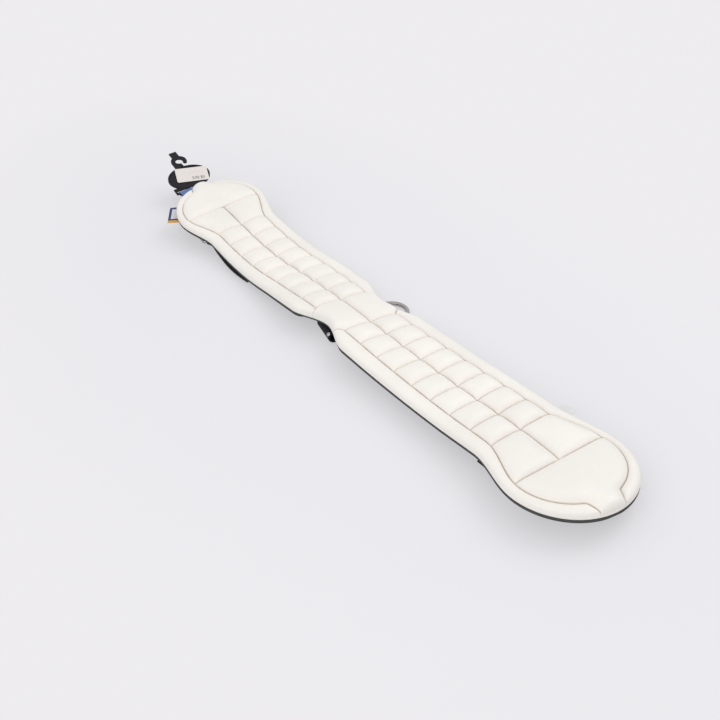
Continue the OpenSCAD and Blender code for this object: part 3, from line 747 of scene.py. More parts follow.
def paper_finish(colours):
    """Coated price sticker, bare but for two pale lines and a plain strip of grey bars."""
    f = Finish("price_sticker")
    along, across = f.split(f.cloth())
    bars = f.math("GREATER_THAN", f.noise(f.node("CombineXYZ", {"X": along}).outputs[0], 1500, 0), 0.5)
    area = lambda u, v: f.math("MULTIPLY", f.between(along, *u), f.between(across, *v))
    strip = f.math("MULTIPLY", bars, area((0.0225, 0.0400), (-0.0115, -0.0050)))
    rows = f.math("ADD", area((0.018, 0.034), (0.0052, 0.0060)), area((0.006, 0.038), (0.0022, 0.0030)))
    fibre = f.noise(f.place(), 700, 4)
    base = f.shades(fibre, colours.paper, 0.95, 1.04)
    base = f.mix(f.math("MULTIPLY", rows, 0.25), base, (0.45, 0.38, 0.30))
    base = f.mix(f.math("MULTIPLY", strip, 0.85), base, (0.05, 0.05, 0.06))
    return f.set(Base_Color=base, Normal=f.bump(fibre, 0.00003), Roughness=f.spread(fibre, 0.3, 0.7, 0.38, 0.5))


def label_finish(colours):
    """Woven edge label: navy border, plain white field, golden band at one end, satin weave. Its cloth runs
    from one end along X, and from the free edge toward the pad along Y."""
    f = Finish("edge_label")
    along, across = f.split(f.cloth())
    field = f.math("MULTIPLY", f.between(along, 0.0050, 0.0286), f.math("GREATER_THAN", across, 0.0036))
    base = f.mix(field, colours.label, colours.satin)
    base = f.mix(f.math("GREATER_THAN", along, 0.0318), base, colours.band)
    weave = f.math("MULTIPLY", f.wave(along, 3000), f.wave(across, 2400))
    base = f.mix(f.math("MULTIPLY", weave, 0.25), base, (0.02, 0.02, 0.03), "MULTIPLY")
    return f.set(Base_Color=base, Normal=f.bump(weave, 0.00006), Roughness=f.spread(weave, 0, 1, 0.5, 0.7))


def satin_finish(colours):
    """Thin white satin label, bare."""
    f = Finish("care_label")
    along, across = f.split(f.cloth())
    weave = f.math("MULTIPLY", f.wave(along, 2600), f.wave(across, 4200))
    fold = f.noise(f.place(), 160, 2)
    # painted shade: the colour follows the label's soft folds, darker in their hollows and lighter on their
    # rises
    return f.set(Base_Color=f.shades(fold, colours.satin, 0.94, 1.05),
                 Normal=f.bump(fold, 0.0004, f.bump(weave, 0.00004)),
                 Roughness=f.spread(weave, 0, 1, 0.35, 0.5))


# ---------------------------------------------------------------- pieces


SIDES = {"left": -1, "right": 1}
SETS = [("left_near", -1, -1, math.radians(4)), ("left_far", -1, 1, 0.0),
        ("right_near", 1, -1, 0.0), ("right_far", 1, 1, 0.0)]
BLEND_FROM, BLEND_TO = 0.014, 0.050
Z_UP = np.array([0.0, 0.0, 1.0])


def neck_to(side):
    """The blend of a half's layer from the neck's body to its own."""
    sign = SIDES[side]
    return "neck", side, (sign * BLEND_FROM, 0, 0), (sign * BLEND_TO, 0, 0)


def half_nodes(name, side):
    """The CAD nodes that half a layer stands for: the left half takes the neck's too."""
    return [name + "_" + part for part in ((side, "neck") if side == "left" else (side,))]


def settled(obj, rides, slot, *nodes):
    """Hides the CAD nodes that a piece replaces and parents it to the body it rides on; where it is given two
    bodies to blend, it only bakes its place into its mesh. slot is not used.
    """
    if nodes:
        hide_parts(*nodes)
    if isinstance(rides, str):
        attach(obj, rides)
    else:
        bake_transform(obj)
    return obj


def half_stations(form):
    """Places along one half, close together at each seam and at the tip."""
    s = form.s
    seams = form.seam_places()
    parts = [s.neck_half * np.linspace(0, 1, 30) ** 0.8]
    for a, b in zip(seams[:-1], seams[1:]):
        parts.append(a + (b - a) * clustered(18 if b - a < 0.04 else 28)[1:])
    parts.append(form.dome_x + (form.tip_x - form.dome_x) * clustered(60)[1:])
    return np.concatenate(parts)


def quilted_cover(form, side, material):
    """Half of the quilted cover, from the neck's middle to the tip, down to the underside of the foam."""
    s, sign = form.s, SIDES[side]
    a = half_stations(form)
    w = np.maximum(form.outline(a), 1e-5)
    g = np.minimum(form.rim_seam(a), 0.9 * w)
    inner, outer = clustered(18), clustered(14)[1:]
    half = np.concatenate([g[:, None] * inner, g[:, None] + (w - g)[:, None] * outer], 1)
    y = np.concatenate([-half[:, :0:-1], half], 1)
    x = np.repeat(a[:, None], y.shape[1], 1)
    h, seam, edge = form.face(x, y, form.seam_curves())
    # the side wall: from the widest line down to the foam's underside, drawn in a little
    across = np.gradient(w, a)
    nx, ny = -across / np.hypot(across, 1), 1 / np.hypot(across, 1)
    drop = np.array([0.2, 0.45, 0.7, 0.88, 1.0])
    swell = 0.0007 * np.sin(np.pi * drop)
    wall_h = -form.edge_drop - (s.foam_t - form.edge_drop) * drop
    draw = swell - form.edge_tuck * drop
    wall_x = a[:, None] + draw * nx[:, None]
    wall_y = np.maximum(w[:, None] + draw * ny[:, None], 0)
    ones = np.ones_like(wall_x)
    x = np.concatenate([wall_x[:, ::-1], x, wall_x], 1)
    y = np.concatenate([-wall_y[:, ::-1], y, wall_y], 1)
    h = np.concatenate([wall_h[::-1] * ones, h, wall_h * ones], 1)
    seam = np.concatenate([seam[:, :1] * ones, seam, seam[:, -1:] * ones], 1)
    edge = np.concatenate([0 * ones, edge, 0 * ones], 1)
    low_y = np.clip(y, -wall_y[:, -1:], wall_y[:, -1:])
    low_x = np.minimum(x, wall_x[:, -1:])
    top = form.laid(sign * x, y, h)
    low = form.laid(sign * low_x, low_y, -s.foam_t)
    values = {"seam_mm": seam * 1000, "edge_mm": edge * 1000}
    obj = plate("cover_" + side, top, low, np.stack([sign * x, y], -1), values, material, sharp=75)
    settled(obj, neck_to(side), "pad_cover", *half_nodes("pad", side))


def under_layer(form, name, side, half_width, top, thick, reach, material, count=15):
    """A flat layer under half of the pad: half_width(a) wide either side, its edges rounded."""
    sign = SIDES[side]
    lobe = form.arc_x + form.arc_len * np.sin(np.linspace(0, np.pi / 2, 50))
    a = np.unique(np.concatenate([np.linspace(0, form.dome_x, 90), lobe]))
    a = np.concatenate([a[a < reach], [reach]])
    rows = [rounded(count, 2 * max(half_width(x), thick), thick) for x in a]
    y, half = np.array([r[0] for r in rows]), np.array([r[1] for r in rows])
    x = np.repeat(a[:, None], y.shape[1], 1)
    middle = -top - thick / 2
    ends = round_edge(reach - a, thick / 2)[:, None]
    half = half * np.maximum(ends, 0.05)
    top, low = (form.laid(sign * x, y, middle + h) for h in (half, -half))
    return plate(name + "_" + side, top, low, np.stack([x, y], -1), material=material, sharp=60)


def rim_runs(form, side, inset, pitch, depth, start, end):
    """Stitch places along both long edges of the pad, inset from its outline, at height -depth, facing down."""
    sign, runs = SIDES[side], []
    turn = np.linspace(0, np.pi / 2, 200)
    a = np.concatenate([np.linspace(start, form.arc_x, 400)[:-1], form.arc_x + form.arc_len * np.sin(turn)])
    w = np.concatenate([form.outline(a[:399]), form.s.lobe_w * np.cos(turn)])
    da, dw = np.gradient(a), np.gradient(w)
    size = np.hypot(da, dw)
    x, y = a - inset * -dw / size, w - inset * da / size
    keep = (x < end) & (y > 0.002)
    for s in (-1, 1):
        runs.append(every(form.laid(sign * x[keep], s * y[keep], -depth), pitch))
    return runs


def seam_stitches(form, side, pitch, material):
    """Thread sunk along every seam of one half."""
    curves, runs = form.seam_curves(), []
    for line in [curves["rim"], curves["rim"] * [1, -1], curves["centre"]] + curves["across"]:
        runs.append(every(form.laid(SIDES[side] * line[:, 0], line[:, 1], 0.00012), pitch))
    obj = stitches("seam_thread_" + side, runs, material, up=1, radius=0.00016, bow=0.00022)
    settled(obj, neck_to(side), "pad_cover")


STRAP_T, STRAP_ROLL, STRAP_SKEW = 0.0025, math.radians(8), math.radians(12)
STRAP_ALONG, STRAP_ACROSS = ((math.sin(STRAP_SKEW), math.cos(STRAP_SKEW), 0),
                             (math.cos(STRAP_SKEW), -math.sin(STRAP_SKEW), 0))
STRAP_AXES = ((-0.0066, 0, 0), STRAP_ALONG, Z_UP)


def cross_strap(form, s, material):
    """The strap in its upright plane: flat, round the near fold, and back under the webbing."""
    end_low, end_high = 0.020, 0.015
    drop = ((form.web_depth + form.ply_gap) / math.cos(STRAP_ROLL)
            + s.strap_w / 2 * math.sin(STRAP_SKEW) * math.sin(STRAP_ROLL))
    under = lambda y: float(form.level(0.0)) - y * math.tan(STRAP_ROLL) - drop
    fold_end = -form.s.neck_w
    r = under(fold_end + 0.006) / 2
    bend = arc(fold_end + r, r, r - STRAP_T / 2, 270, 90, 24)
    path = np.concatenate([[[end_low, STRAP_T / 2]], bend, [[end_high, under(end_high) - STRAP_T / 2]]])
    line, normal = turned(even(path, 0.002), STRAP_AXES)
    obj = band("cross_webbing", line, normal, STRAP_ACROSS, s.strap_w, STRAP_T, material, count=13)
    return settled(obj, "neck", "black_webbing", "cross_strap")


def box_runs(axes, across, low, high, half, z, pitch):
    """A box of stitches with its two diagonals under a strap, between two places along it."""
    corner = [(low, -half), (low, half), (high, half), (high, -half)]
    place, along = np.array(axes[0], float), np.array(axes[1], float)
    at = lambda p: place + along * p[0] + np.array(across, float) * p[1] + Z_UP * z
    pairs = [(0, 1), (1, 2), (2, 3), (3, 0), (0, 2), (1, 3)]
    return [every(np.linspace(at(corner[i]), at(corner[j]), 12), pitch) for i, j in pairs]


def ring_loop(form, material):
    """Narrow webbing loop round the ring's wire."""
    loop_t, loop_w, gap, wire, wire_r = 0.001, 0.013, form.ply_gap, (0.027, 0.005062), 0.004412
    low, start, end = STRAP_T + gap + loop_t / 2, 0.004, 0.021
    high = low + loop_t + gap
    path = np.concatenate([[[start, low], [end, low]], arc(*wire, wire_r, 250, 470, 30),
                           [[end, high], [start, high]]])
    line, normal = turned(even(path, 0.0012), STRAP_AXES)
    obj = band("loop_webbing", line, normal, STRAP_ACROSS, loop_w, loop_t, material)
    return settled(obj, "neck", "black_webbing", "ring_loop")


def bar_place(form, s):
    """Distance of the buckle bars from the neck's middle, and their height."""
    return form.dome_x - 0.020, CHAPE_IN + s.elastic_t + CLEAR


def anchor_top(form, s):
    """Depth of the anchor patches' upper side."""
    return form.shell_depth + SEAT_GAP + s.elastic_t + 2 * form.ply_gap


SEAT_GAP, CLEAR = 0.0003, 0.00005            # between seated pieces, and over the floor
CHAPE_IN = 0.0023 + SEAT_GAP                 # round a wire of this radius
CHAPE_BACK, CHAPE_TAIL = 0.016, 0.042
SLOT_LEN, SLOT_W = 0.0195, 0.008
ANCHOR_X, ANCHOR_LEN, ANCHOR_W, ANCHOR_T = 0.178, 0.028, 0.090, 0.0015
ELASTIC_Y, ELASTIC_LAP, ELASTIC_BOW = 0.026, 0.008, 0.07


def elastic_strap(form, s, name, side, row, splay, material):
    """Elastic from its anchor to the buckle: rests under the shell, then eases level and up to the chape."""
    (bar_x, bar_z), y0 = bar_place(form, s), row * ELASTIC_Y
    start, end = ANCHOR_X - ELASTIC_LAP, bar_x - CHAPE_BACK - form.ply_gap
    a = np.linspace(start, end, 90)
    v, half = rounded(13, s.elastic_w, s.elastic_t)
    chape_z = bar_z + CHAPE_IN + s.elastic_t / 2
    bow = row * ELASTIC_BOW * math.tan(splay) * np.sin(np.pi * (a - start) / (end - start))
    y = (y0 - math.tan(splay) * (bar_x - a) + bow)[:, None] + v[None] * math.cos(splay)
    x = side * (a[:, None] - v[None] * math.sin(splay))
    ease = smooth((np.abs(x) - ANCHOR_X) / (bar_x - CHAPE_BACK - ANCHOR_X))
    seat = form.level(x) - form.shell_depth - SEAT_GAP - s.elastic_t / 2
    z = np.minimum(seat, seat + (chape_z - seat) * ease) + y * np.sin(form.roll(x) * (1 - ease))
    uv = np.stack(np.broadcast_arrays(a[:, None], v[None]), -1)
    obj = plate("elastic_band_" + name, np.stack([x, y, z + half], -1), np.stack([x, y, z - half], -1), uv,
                material=material, sharp=60)
    rides = ("left" if side < 0 else "right", "elastic_end_" + name,
             (side * (ANCHOR_X + ANCHOR_LEN / 2), y0, 0), (side * (end - 0.001), y0, 0))
    return settled(obj, rides, "black_elastic", "elastic_" + name)


def buckle_axes(form, s, side, row, splay):
    """Place and directions of a buckle: outwards along its strap, up, and across."""
    bar_x, bar_z = bar_place(form, s)
    along = (side * math.cos(splay), math.sin(splay), 0)
    across = (-side * math.sin(splay), math.cos(splay), 0)
    return ((side * bar_x, row * ELASTIC_Y, bar_z), along, Z_UP), across


def chape(form, s, name, side, row, splay, material):
    """End piece folded round the buckle's bar, slotted for the tongue."""
    r = CHAPE_IN + s.elastic_t / 2
    low = r - s.elastic_t - form.ply_gap
    path = np.concatenate([[[-CHAPE_BACK, r]], arc(0, 0, r, 90, -90, 24),
                           [[-CHAPE_BACK, low], [-CHAPE_TAIL, low]]])
    axes, across = buckle_axes(form, s, side, row, splay)
    line, normal = turned(even(path, 0.0011), axes)
    reach = (line - np.array(axes[0])) @ np.array(axes[1])
    way = way_along(line)
    keep = lambda t, v: ~((np.interp(t, way, reach) > -SLOT_LEN) & (np.abs(v) < SLOT_W / 2))
    obj = band("chape_band_" + name, line, normal, across, s.elastic_w, s.elastic_t, material, 29, keep)
    return settled(obj, "elastic_end_" + name, "black_elastic", "chape_" + name)


def chape_runs(form, s, side, row, splay):
    """Stitches across the chape's folded end, under it."""
    axes, across = buckle_axes(form, s, side, row, splay)
    inset = 0.003
    z = CHAPE_IN - s.elastic_t - form.ply_gap - 0.00003
    return box_runs(axes, across, -CHAPE_TAIL + inset, -SLOT_LEN - inset, s.elastic_w / 2 - inset, z, s.stitch)


def anchor_patch(form, s, side, material):
    """Sewn patch over the inner ends of both elastics of one side."""
    sign = SIDES[side]
    v, half = rounded(25, ANCHOR_W, ANCHOR_T)
    x, y = np.meshgrid(ANCHOR_X + ANCHOR_LEN * np.linspace(-0.5, 0.5, 24), v, indexing="ij")
    h = half[None] * np.maximum(round_edge(ANCHOR_LEN / 2 - np.abs(x - ANCHOR_X), ANCHOR_T / 2), 0.1)
    middle = -anchor_top(form, s) - ANCHOR_T / 2
    obj = plate("anchor_patch_" + side, form.laid(sign * x, y, middle + h), form.laid(sign * x, y, middle - h),
                np.stack([x, y], -1), material=material, sharp=60)
    return settled(obj, side, "shell_fabric", "anchor_" + side)


def anchor_runs(form, s, side):
    """Two rows of stitches round an anchor patch, under it."""
    runs = []
    for inset in (0.0028, 0.0056):
        u, v = ANCHOR_LEN / 2 - inset, ANCHOR_W / 2 - inset
        corner = [(-u, -v), (u, -v), (u, v), (-u, v), (-u, -v)]
        for p, q in zip(corner[:-1], corner[1:]):
            x, y = np.linspace(p, q, 30).T
            place = form.laid(SIDES[side] * (ANCHOR_X + x), y, -anchor_top(form, s) - ANCHOR_T)
            runs.append(every(place, s.stitch))
    return runs


TIP_RIBBON_Y, RIBBON_T, TAB_ROOT = -0.003, 0.0007, 0.018
HANGER_BAR, BAR_R, HANGER_SLOPE = (-0.424, 0.0238), 0.0016, math.radians(18)    # the bar's x and z
HOOK_MID, HOOK_R, HOOK_END = np.array([0.063, 0.015]), 0.0086, math.radians(115.5)


def hang_tab(form, s, material):
    """Ribbon sewn under the left tip, round the hanger's slot bar."""
    x, y = np.meshgrid([-form.tip_x, TAB_ROOT - form.tip_x], TIP_RIBBON_Y + s.ribbon_w * np.array([-0.5, 0.5]))
    under = form.level(x) + y * np.tan(form.roll(x)) - (form.shell_depth + SEAT_GAP) / np.cos(form.roll(x))
    top = float(under.min()) - RIBBON_T / 2
    low = top - RIBBON_T - form.ply_gap
    root, turn = -form.tip_x + TAB_ROOT, -form.tip_x - 0.006
    bend = arc(*HANGER_BAR, BAR_R + SEAT_GAP + RIBBON_T / 2, 80, 280, 24)
    path = np.concatenate([[[root, top], [turn, top]], bend, [[turn, low], [root, low]]])
    line, normal = turned(even(path, 0.0012), ((0, TIP_RIBBON_Y, 0), (1, 0, 0), Z_UP))
    obj = band("hang_ribbon", line, normal, (0, 1, 0), s.ribbon_w, RIBBON_T, material, count=15)
    return settled(obj, "left", "blue_ribbon", "hang_tab")


def on_hanger(u, v, h):
    """From the hanger's own place (u along it, v across, h off it) to the row frame."""
    (bar_x, bar_z), c, s = HANGER_BAR, math.cos(HANGER_SLOPE), math.sin(HANGER_SLOPE)
    return np.stack(np.broadcast_arrays(bar_x - u * c + h * s, TIP_RIBBON_Y + v, bar_z + u * s + h * c), -1)


def price_sticker(material):
    """Paper sticker on the hanger's oval, its corners rounded and one lifting a little."""
    width, tall, thick, r, turn = 0.0300, 0.0462, 0.0003, 0.0022, math.radians(18)
    mid_u, mid_v, base = 0.0275, 0.0179, 0.00145
    v = np.linspace(-tall / 2, tall / 2, 41)
    inset = r - np.sqrt(np.maximum(0, r * r - np.clip(r - (tall / 2 - np.abs(v)), 0, r) ** 2))
    u = (width / 2 - inset)[:, None] * np.linspace(-1, 1, 25)[None]
    v = np.repeat(v[:, None], 25, 1)
    lift = 0.0006 * np.clip((u / width + v / tall) - 0.75, 0, 1) ** 1.5
    pu = mid_u + u * math.cos(turn) - v * math.sin(turn)
    pv = mid_v + u * math.sin(turn) + v * math.cos(turn)
    obj = plate("price_sticker", on_hanger(pu, pv, base + thick + lift), on_hanger(pu, pv, base + lift),
                np.stack([v + tall / 2, u], -1), material=material, sharp=40)
    return settled(obj, "hanger", "sticker_paper", "hanger_sticker")


def sewn_label(form, name, spot, u_half, v0, v1, thick, material, settle, wave=0.0):
    """Thin label along the shell's underside: spot(u, v) gives its place in plan."""
    u, v = np.meshgrid(np.linspace(-u_half, u_half, 41), np.linspace(v0, v1, 21), indexing="ij")
    x, y = spot(u, v)
    ripple = wave * np.clip((v - v0) / (v1 - v0), 0, 1) ** 2 * np.sin(u / u_half * 2.2 + 0.6)
    depth = form.shell_depth + form.ply_gap
    base = form.level(x) + y * np.tan(form.roll(x)) + ripple
    top, low = (np.stack([x, y, base - d / np.cos(form.roll(x))], -1) for d in (depth, depth + thick))
    obj = plate(name, top, low, np.stack([u + u_half, v - v0], -1), material=material, sharp=40)
    return settled(obj, *settle)


# ---------------------------------------------------------------- operators
class Maker:
    """What the operators share: make() works from the pad's form, the strap sizes and the colours."""

    def execute(self, context):
        scene = context.scene
        self.make(PadForm(scene.girth_pad), scene.girth_straps, scene.girth_colours)
        return {"FINISHED"}


class GIRTH_OT_cover(Maker, bpy.types.Operator):
    """Makes the quilted ivory cover in two halves that meet at the neck's middle, with its sunk thread"""
    bl_idname = "girth.cover"
    bl_label = "Quilted cover"

    def make(self, form, straps, colours):
        finish, thread = cover_finish(colours), thread_finish("cover_thread", tinted(colours.seam, 1.25))
        for side in SIDES:
            quilted_cover(form, side, finish)
            seam_stitches(form, side, straps.stitch, thread)


class GIRTH_OT_layers(Maker, bpy.types.Operator):
    """Makes the backing, the outer shell and the load webbing under the pad, with their stitching"""
    bl_idname = "girth.layers"
    bl_label = "Layers under the pad"

    def make(self, form, straps, colours):
        s, gap = form.s, form.ply_gap
        thread = thread_finish("black_thread", (0.03, 0.03, 0.034))
        inset, beyond = 0.001, 0.0004        # of the shell's edge, and of the backing's past the pad's
        at_neck = 0.0012                     # the backing draws in by this much more beside the ring
        cut, cut_run, neck_half = straps.strap_w / 2, 0.024, 0.020
        deep = s.neck_w - inset - neck_half  # depth of the shell's cut over the cross strap
        falling = lambda a, start, run: 1 - float(smooth((a - start) / run))
        layers = (
            ("backing", lambda a: form.drawn_in(a, -beyond + at_neck * falling(a, 0.03, 0.03)), s.foam_t + gap,
             s.backing_t, form.tip_x + beyond, backing_finish(colours), "backing_foam"),
            ("shell", lambda a: form.drawn_in(a, inset) - deep * falling(a, cut, cut_run),
             s.foam_t + s.backing_t + 2 * gap, s.shell_t, form.tip_x - inset,
             weave_finish("shell_fabric", colours.shell, 1400, 1400, 0.00012, rough=(0.62, 0.8)),
             "shell_fabric"),
            ("webbing", lambda a: 0.0105, form.shell_depth + gap, s.webbing_t, form.large_x - 0.015,
             weave_finish("black_webbing", colours.webbing, 620, 900, 0.0002, twill=1.0), "black_webbing"))
        for side in SIDES:
            for name, half, top, thick, reach, finish, slot in layers:
                obj = under_layer(form, "layer_" + name, side, half, top, thick, reach, finish)
                settled(obj, neck_to(side), slot, *half_nodes(name, side))
            runs = rim_runs(form, side, 0.0095, straps.stitch, form.shell_depth, 0.075, form.tip_x)
            line = np.linspace(0.02, form.large_x - 0.018, 120)
            for y in (-0.0082, 0.0082):
                runs.append(every(form.laid(SIDES[side] * line, y, -form.web_depth), straps.stitch))
            settled(stitches("shell_thread_" + side, runs, thread), neck_to(side), "shell_fabric")


class GIRTH_OT_cross_strap(Maker, bpy.types.Operator):
    """Makes the folded cross strap and the ring's loop with their box stitches"""
    bl_idname = "girth.cross_strap"
    bl_label = "Cross strap"

    def make(self, form, straps, colours):
        webbing = weave_finish("strap_webbing", colours.webbing, 620, 900, 0.0002, twill=1.0)
        cross_strap(form, straps, webbing)
        ring_loop(form, webbing)
        half, under = straps.strap_w / 2 - 0.004, -0.00002
        runs = box_runs(STRAP_AXES, STRAP_ACROSS, -0.018, 0.017, half, under, straps.stitch)
        thread = thread_finish("strap_thread", (0.03, 0.03, 0.034))
        settled(stitches("cross_thread", runs, thread, bow=0.0), "neck", "black_webbing")


class GIRTH_OT_elastics(Maker, bpy.types.Operator):
    """Makes the four elastics, their slotted end pieces and the anchor patches, with their stitching"""
    bl_idname = "girth.elastics"
    bl_label = "Elastics"

    def make(self, form, straps, colours):
        elastic = weave_finish("black_elastic", colours.webbing, 420, 640, 0.00028, rough=(0.55, 0.75))
        patch = weave_finish("anchor_fabric", colours.shell, 1100, 1100, 0.00015)
        thread = thread_finish("elastic_thread", (0.035, 0.035, 0.04))
        for name, *where in SETS:
            elastic_strap(form, straps, name, *where, elastic)
            chape(form, straps, name, *where, elastic)
            settled(stitches("chape_thread_" + name, chape_runs(form, straps, *where), thread),
                    "elastic_end_" + name, "black_elastic")
        for side in SIDES:
            anchor_patch(form, straps, side, patch)
            rows = stitches("anchor_thread_" + side, anchor_runs(form, straps, side), thread)
            settled(rows, side, "shell_fabric")


class GIRTH_OT_metal(Maker, bpy.types.Operator):
    """Gives the ring, the stud and the buckles their steel"""
    bl_idname = "girth.metal"
    bl_label = "Ring and buckles"

    def make(self, form, straps, colours):
        steel, brushed = steel_finish(colours), steel_finish(colours, "roller_steel", (0.18, 0.3))
        for name, node in frame["nodes"].items():
            if name.startswith("buckle_roller"):
                dress(node, brushed)
            elif name.startswith(("girth_ring", "strap_rivet", "buckle")):
                dress(node, steel)


class GIRTH_OT_hanger(Maker, bpy.types.Operator):
    """Makes the hang tab's ribbon and the price sticker, and gives the hanger its moulded plastic"""
    bl_idname = "girth.hanger"
    bl_label = "Hanger"

    def make(self, form, straps, colours):
        ribbon = weave_finish("blue_ribbon", colours.ribbon, 900, 1500, 0.00012, rough=(0.4, 0.6), shine=0.5)
        hang_tab(form, straps, ribbon)
        price_sticker(paper_finish(colours))
        node = frame["nodes"]["hanger"]
        dress(node, plastic_finish(colours))
        bevel = node.modifiers.new("edges", "BEVEL")
        bevel.width, bevel.segments = 0.0003, 2
        bevel.limit_method, bevel.angle_limit = "ANGLE", math.radians(40)


class GIRTH_OT_labels(Maker, bpy.types.Operator):
    """Makes the woven edge label and the plain care label"""
    bl_idname = "girth.labels"
    bl_label = "Labels"

    def make(self, form, straps, colours):
        angle = math.radians(236)            # round the left lobe, from its long axis
        along, across = form.arc_len * math.cos(angle), form.s.lobe_w * math.sin(angle)
        turn = math.atan2(form.arc_len * math.sin(angle), form.s.lobe_w * math.cos(angle)) + math.pi / 2
        edge_spot = lambda u, v: (-form.arc_x + along + u * math.cos(turn) - v * math.sin(turn),
                                  across + u * math.sin(turn) + v * math.cos(turn))
        sewn_label(form, "edge_label_woven", edge_spot, 0.0185, -0.0125, 0.0115, 0.0006, label_finish(colours),
                   ("left", "woven_label", "edge_label"))
        x0 = form.large_x - 0.004
        care_spot = lambda u, v: (x0 + u, float(form.outline(x0)) + v)
        sewn_label(form, "care_label_satin", care_spot, 0.0075, -0.009, 0.019, 0.0004, satin_finish(colours),
                   ("right", "white_label", "care_label"), wave=0.0006)


class GIRTH_OT_stage(Maker, bpy.types.Operator):
    """Makes the pale floor, the light and the camera of the photograph"""
    bl_idname = "girth.stage"
    bl_label = "Stage"

    def make(self, form, straps, colours):
        floor_and_world(colours)
        lights()
        camera()


def dress(node, material):
    """Gives a carried CAD node one material."""
    mesh = node.data
    if not mesh.materials:
        mesh.materials.append(material)
    for i in range(len(mesh.materials)):
        mesh.materials[i] = material


# ---------------------------------------------------------------- stage
BACKGROUND = (0.852, 0.838, 0.860)
PLAIN_SHARE = 0.52                           # how much of the floor near the girth is the background itself
WORLD_LIGHT = 0.76
LAMPS = (("key", (0.2, 1.3, 1.5), 1.4, 10.0), ("fill", (0.7, -1.5, 0.9), 1.6, 9.0))


def floor_and_world(colours):
    """A plain pale floor, most of it the background itself and the rest a surface that takes soft contact
    shadows and fades with distance, and an even pale world."""
    f = Finish("stage_floor")
    f.set(Base_Color=f.shades(f.noise(f.place(), 7, 2), colours.floor, 0.99, 1.01), Roughness=0.9,
          Specular_IOR_Level=0.05)
    squares = [f.math("POWER", f.math("DIVIDE", value, size), 2.0)
               for value, size in zip(f.split(f.place()), (0.62, 0.26))]
    near = f.spread(f.math("SQRT", f.math("ADD", *squares)), 0.75, 1.6, PLAIN_SHARE, 1.0)
    plain = f.node("Emission", {"Color": BACKGROUND})
    mixed = f.node("MixShader", {0: f.math("MULTIPLY", near, f.plain_rays()), 1: f.shader.outputs[0],
                                 2: plain.outputs[0]})
    f.feed(f.tree.nodes["Material Output"].inputs["Surface"], mixed.outputs[0])
    side, drop = 6.0, 0.0002
    corner = np.array([(-side, -side, -drop), (side, -side, -drop), (side, side, -drop), (-side, side, -drop)])
    mesh_object("floor", corner, np.array([[0, 1, 2, 3]]), material=f.mat)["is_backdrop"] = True

    world = bpy.data.worlds.new("pale")
    bpy.context.scene.world = world
    world.use_nodes = True
    w = Nodes(world.node_tree)
    w.tree.nodes.clear()
    sky = w.node("Background", {"Color": (0.97, 0.985, 1.0), "Strength": WORLD_LIGHT})
    plain = w.node("Background", {"Color": BACKGROUND})
    both = w.node("MixShader", {0: w.plain_rays(), 1: sky.outputs[0], 2: plain.outputs[0]})
    w.node("OutputWorld", {"Surface": both.outputs[0]})


def lights():
    """Two large soft lamps aimed at the middle of the girth: (name, place, size, watts)."""
    for name, place, size, power in LAMPS:
        data = bpy.data.lights.new(name, "AREA")
        data.shape, data.size, data.energy = "DISK", size, power
        lamp = bpy.data.objects.new(name, data)
        lamp.location = place
        lamp.rotation_euler = (-Vector(place)).to_track_quat("-Z", "Y").to_euler()
        bpy.context.scene.collection.objects.link(lamp)


def camera():
    """The photograph's camera, from the constants that the image points settled."""
    data = bpy.data.cameras.new("camera")
    data.sensor_fit, data.sensor_width, data.lens = "AUTO", SENSOR, CAMERA_LENS
    data.clip_start, data.clip_end = 0.01, 50
    obj = bpy.data.objects.new("camera", data)
    right, up, forward = camera_axes()
    obj.matrix_world = Matrix.Translation(CAMERA_PLACE) @ Matrix((right, up, -forward)).transposed().to_4x4()
    bpy.context.scene.collection.objects.link(obj)
    bpy.context.scene.camera = obj
    bpy.context.scene.view_settings.view_transform = "Standard"


OPERATORS = (GIRTH_OT_cover, GIRTH_OT_layers, GIRTH_OT_cross_strap, GIRTH_OT_elastics, GIRTH_OT_metal,
             GIRTH_OT_hanger, GIRTH_OT_labels, GIRTH_OT_stage)


class GIRTH_PT_panel(bpy.types.Panel):
    """Makes the girth's pieces one after another"""
    bl_label = "Padded girth"
    bl_idname = "GIRTH_PT_panel"
    bl_space_type = "VIEW_3D"
    bl_region_type = "UI"
    bl_category = "Girth"

    def draw(self, context):
        for operator in OPERATORS:
            self.layout.operator(operator.bl_idname)


GROUPS = {"girth_pad": GirthPadSizes, "girth_straps": GirthStrapSizes, "girth_colours": GirthColours}


def register():
    for cls in (*GROUPS.values(), *OPERATORS, GIRTH_PT_panel):
        bpy.utils.register_class(cls)
    for name, group in GROUPS.items():
        setattr(bpy.types.Scene, name, bpy.props.PointerProperty(type=group))


def unregister():
    for name in GROUPS:
        delattr(bpy.types.Scene, name)
    for cls in reversed((*GROUPS.values(), *OPERATORS, GIRTH_PT_panel)):
        bpy.utils.unregister_class(cls)


# ---------------------------------------------------------------- image points and the run
def finished_points(objects):
    """Finished vertices of objects, in the row frame."""
    graph = bpy.context.evaluated_depsgraph_get()
    blocks = []
    for o in objects:
        mesh = o.evaluated_get(graph).to_mesh()
        co = np.empty(len(mesh.vertices) * 3, np.float32)
        mesh.vertices.foreach_get("co", co)
        matrix = np.array(o.matrix_world)
        blocks.append(co.reshape(-1, 3) @ matrix[:3, :3].T + matrix[:3, 3])
    return np.concatenate(blocks)


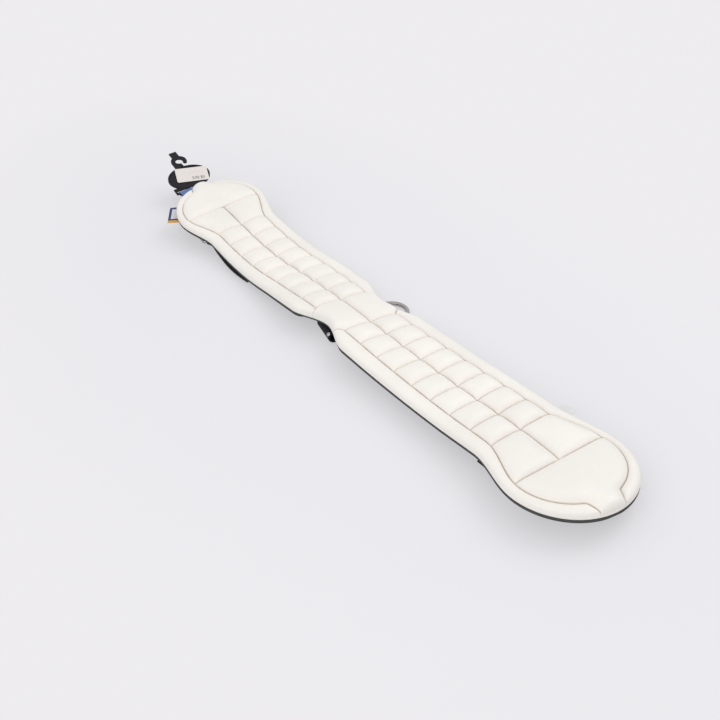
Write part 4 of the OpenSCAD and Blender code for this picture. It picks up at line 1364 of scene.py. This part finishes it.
def middle_shown(obj):
    """Middle, in the image, of those finished vertices of obj that nothing hides from the camera."""
    graph, eye, free = bpy.context.evaluated_depsgraph_get(), Vector(CAMERA_PLACE), []
    for p in finished_points([obj]):
        way = Vector(p) - eye
        if not bpy.context.scene.ray_cast(graph, eye, way, distance=way.length - 0.0004)[0]:
            free.append(p)
    free = image_of(free)
    return (free.min(0) + free.max(0)) / 2


def write_points():
    """Works out where each of a list of things shows in the image, in x and y, and keeps the table only inside
    the function.
    """
    form = PadForm(bpy.context.scene.girth_pad)
    s, nodes, objects = form.s, frame["nodes"], bpy.data.objects
    finished = lambda *pieces: image_of(finished_points(pieces))
    seen, ring = finished(*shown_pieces()), finished(nodes["girth_ring"])
    on_seam = lambda x, y=0.0: image_of(form.laid([x], [y], [0.0]))[0]
    rim_y = float(form.rim_seam(form.dome_x))
    hook = HOOK_MID + HOOK_R * np.array([math.cos(HOOK_END), math.sin(HOOK_END)])
    where = {
        "left": (seen[:, 0].min(), None), "right": (seen[:, 0].max(), None), "top": (None, seen[:, 1].min()),
        "bottom": (None, finished(objects["cover_right"])[:, 1].max()),
        "neck_seam_right": on_seam(s.neck_half), "neck_seam_left": on_seam(-s.neck_half),
        "fourth_seam_right": on_seam(s.neck_half + 4 * form.pitch),
        "large_seam_right": on_seam(form.large_x), "large_seam_left": on_seam(-form.large_x),
        "dome_seam_right_near": on_seam(form.dome_x, -rim_y),
        "dome_seam_right_far": on_seam(form.dome_x, rim_y),
        "dome_seam_left": on_seam(-form.dome_x), "ring_far": ring[ring[:, 0].argmax()],
        "stud": middle_shown(nodes["strap_rivet"]), "fold_middle": middle_shown(objects["cross_webbing"]),
        "sticker": middle_shown(objects["price_sticker"]), "hook_tip": image_of([on_hanger(*hook, 0.0)])[0],
        "edge_label": middle_shown(objects["edge_label_woven"]), "ribbon": middle_shown(objects["hang_ribbon"]),
    }


def main():
    register()
    for operator in OPERATORS:
        group, name = operator.bl_idname.split(".")
        getattr(getattr(bpy.ops, group), name)()
    bpy.context.view_layer.update()
    write_points()


if __name__ == "__main__":
    main()
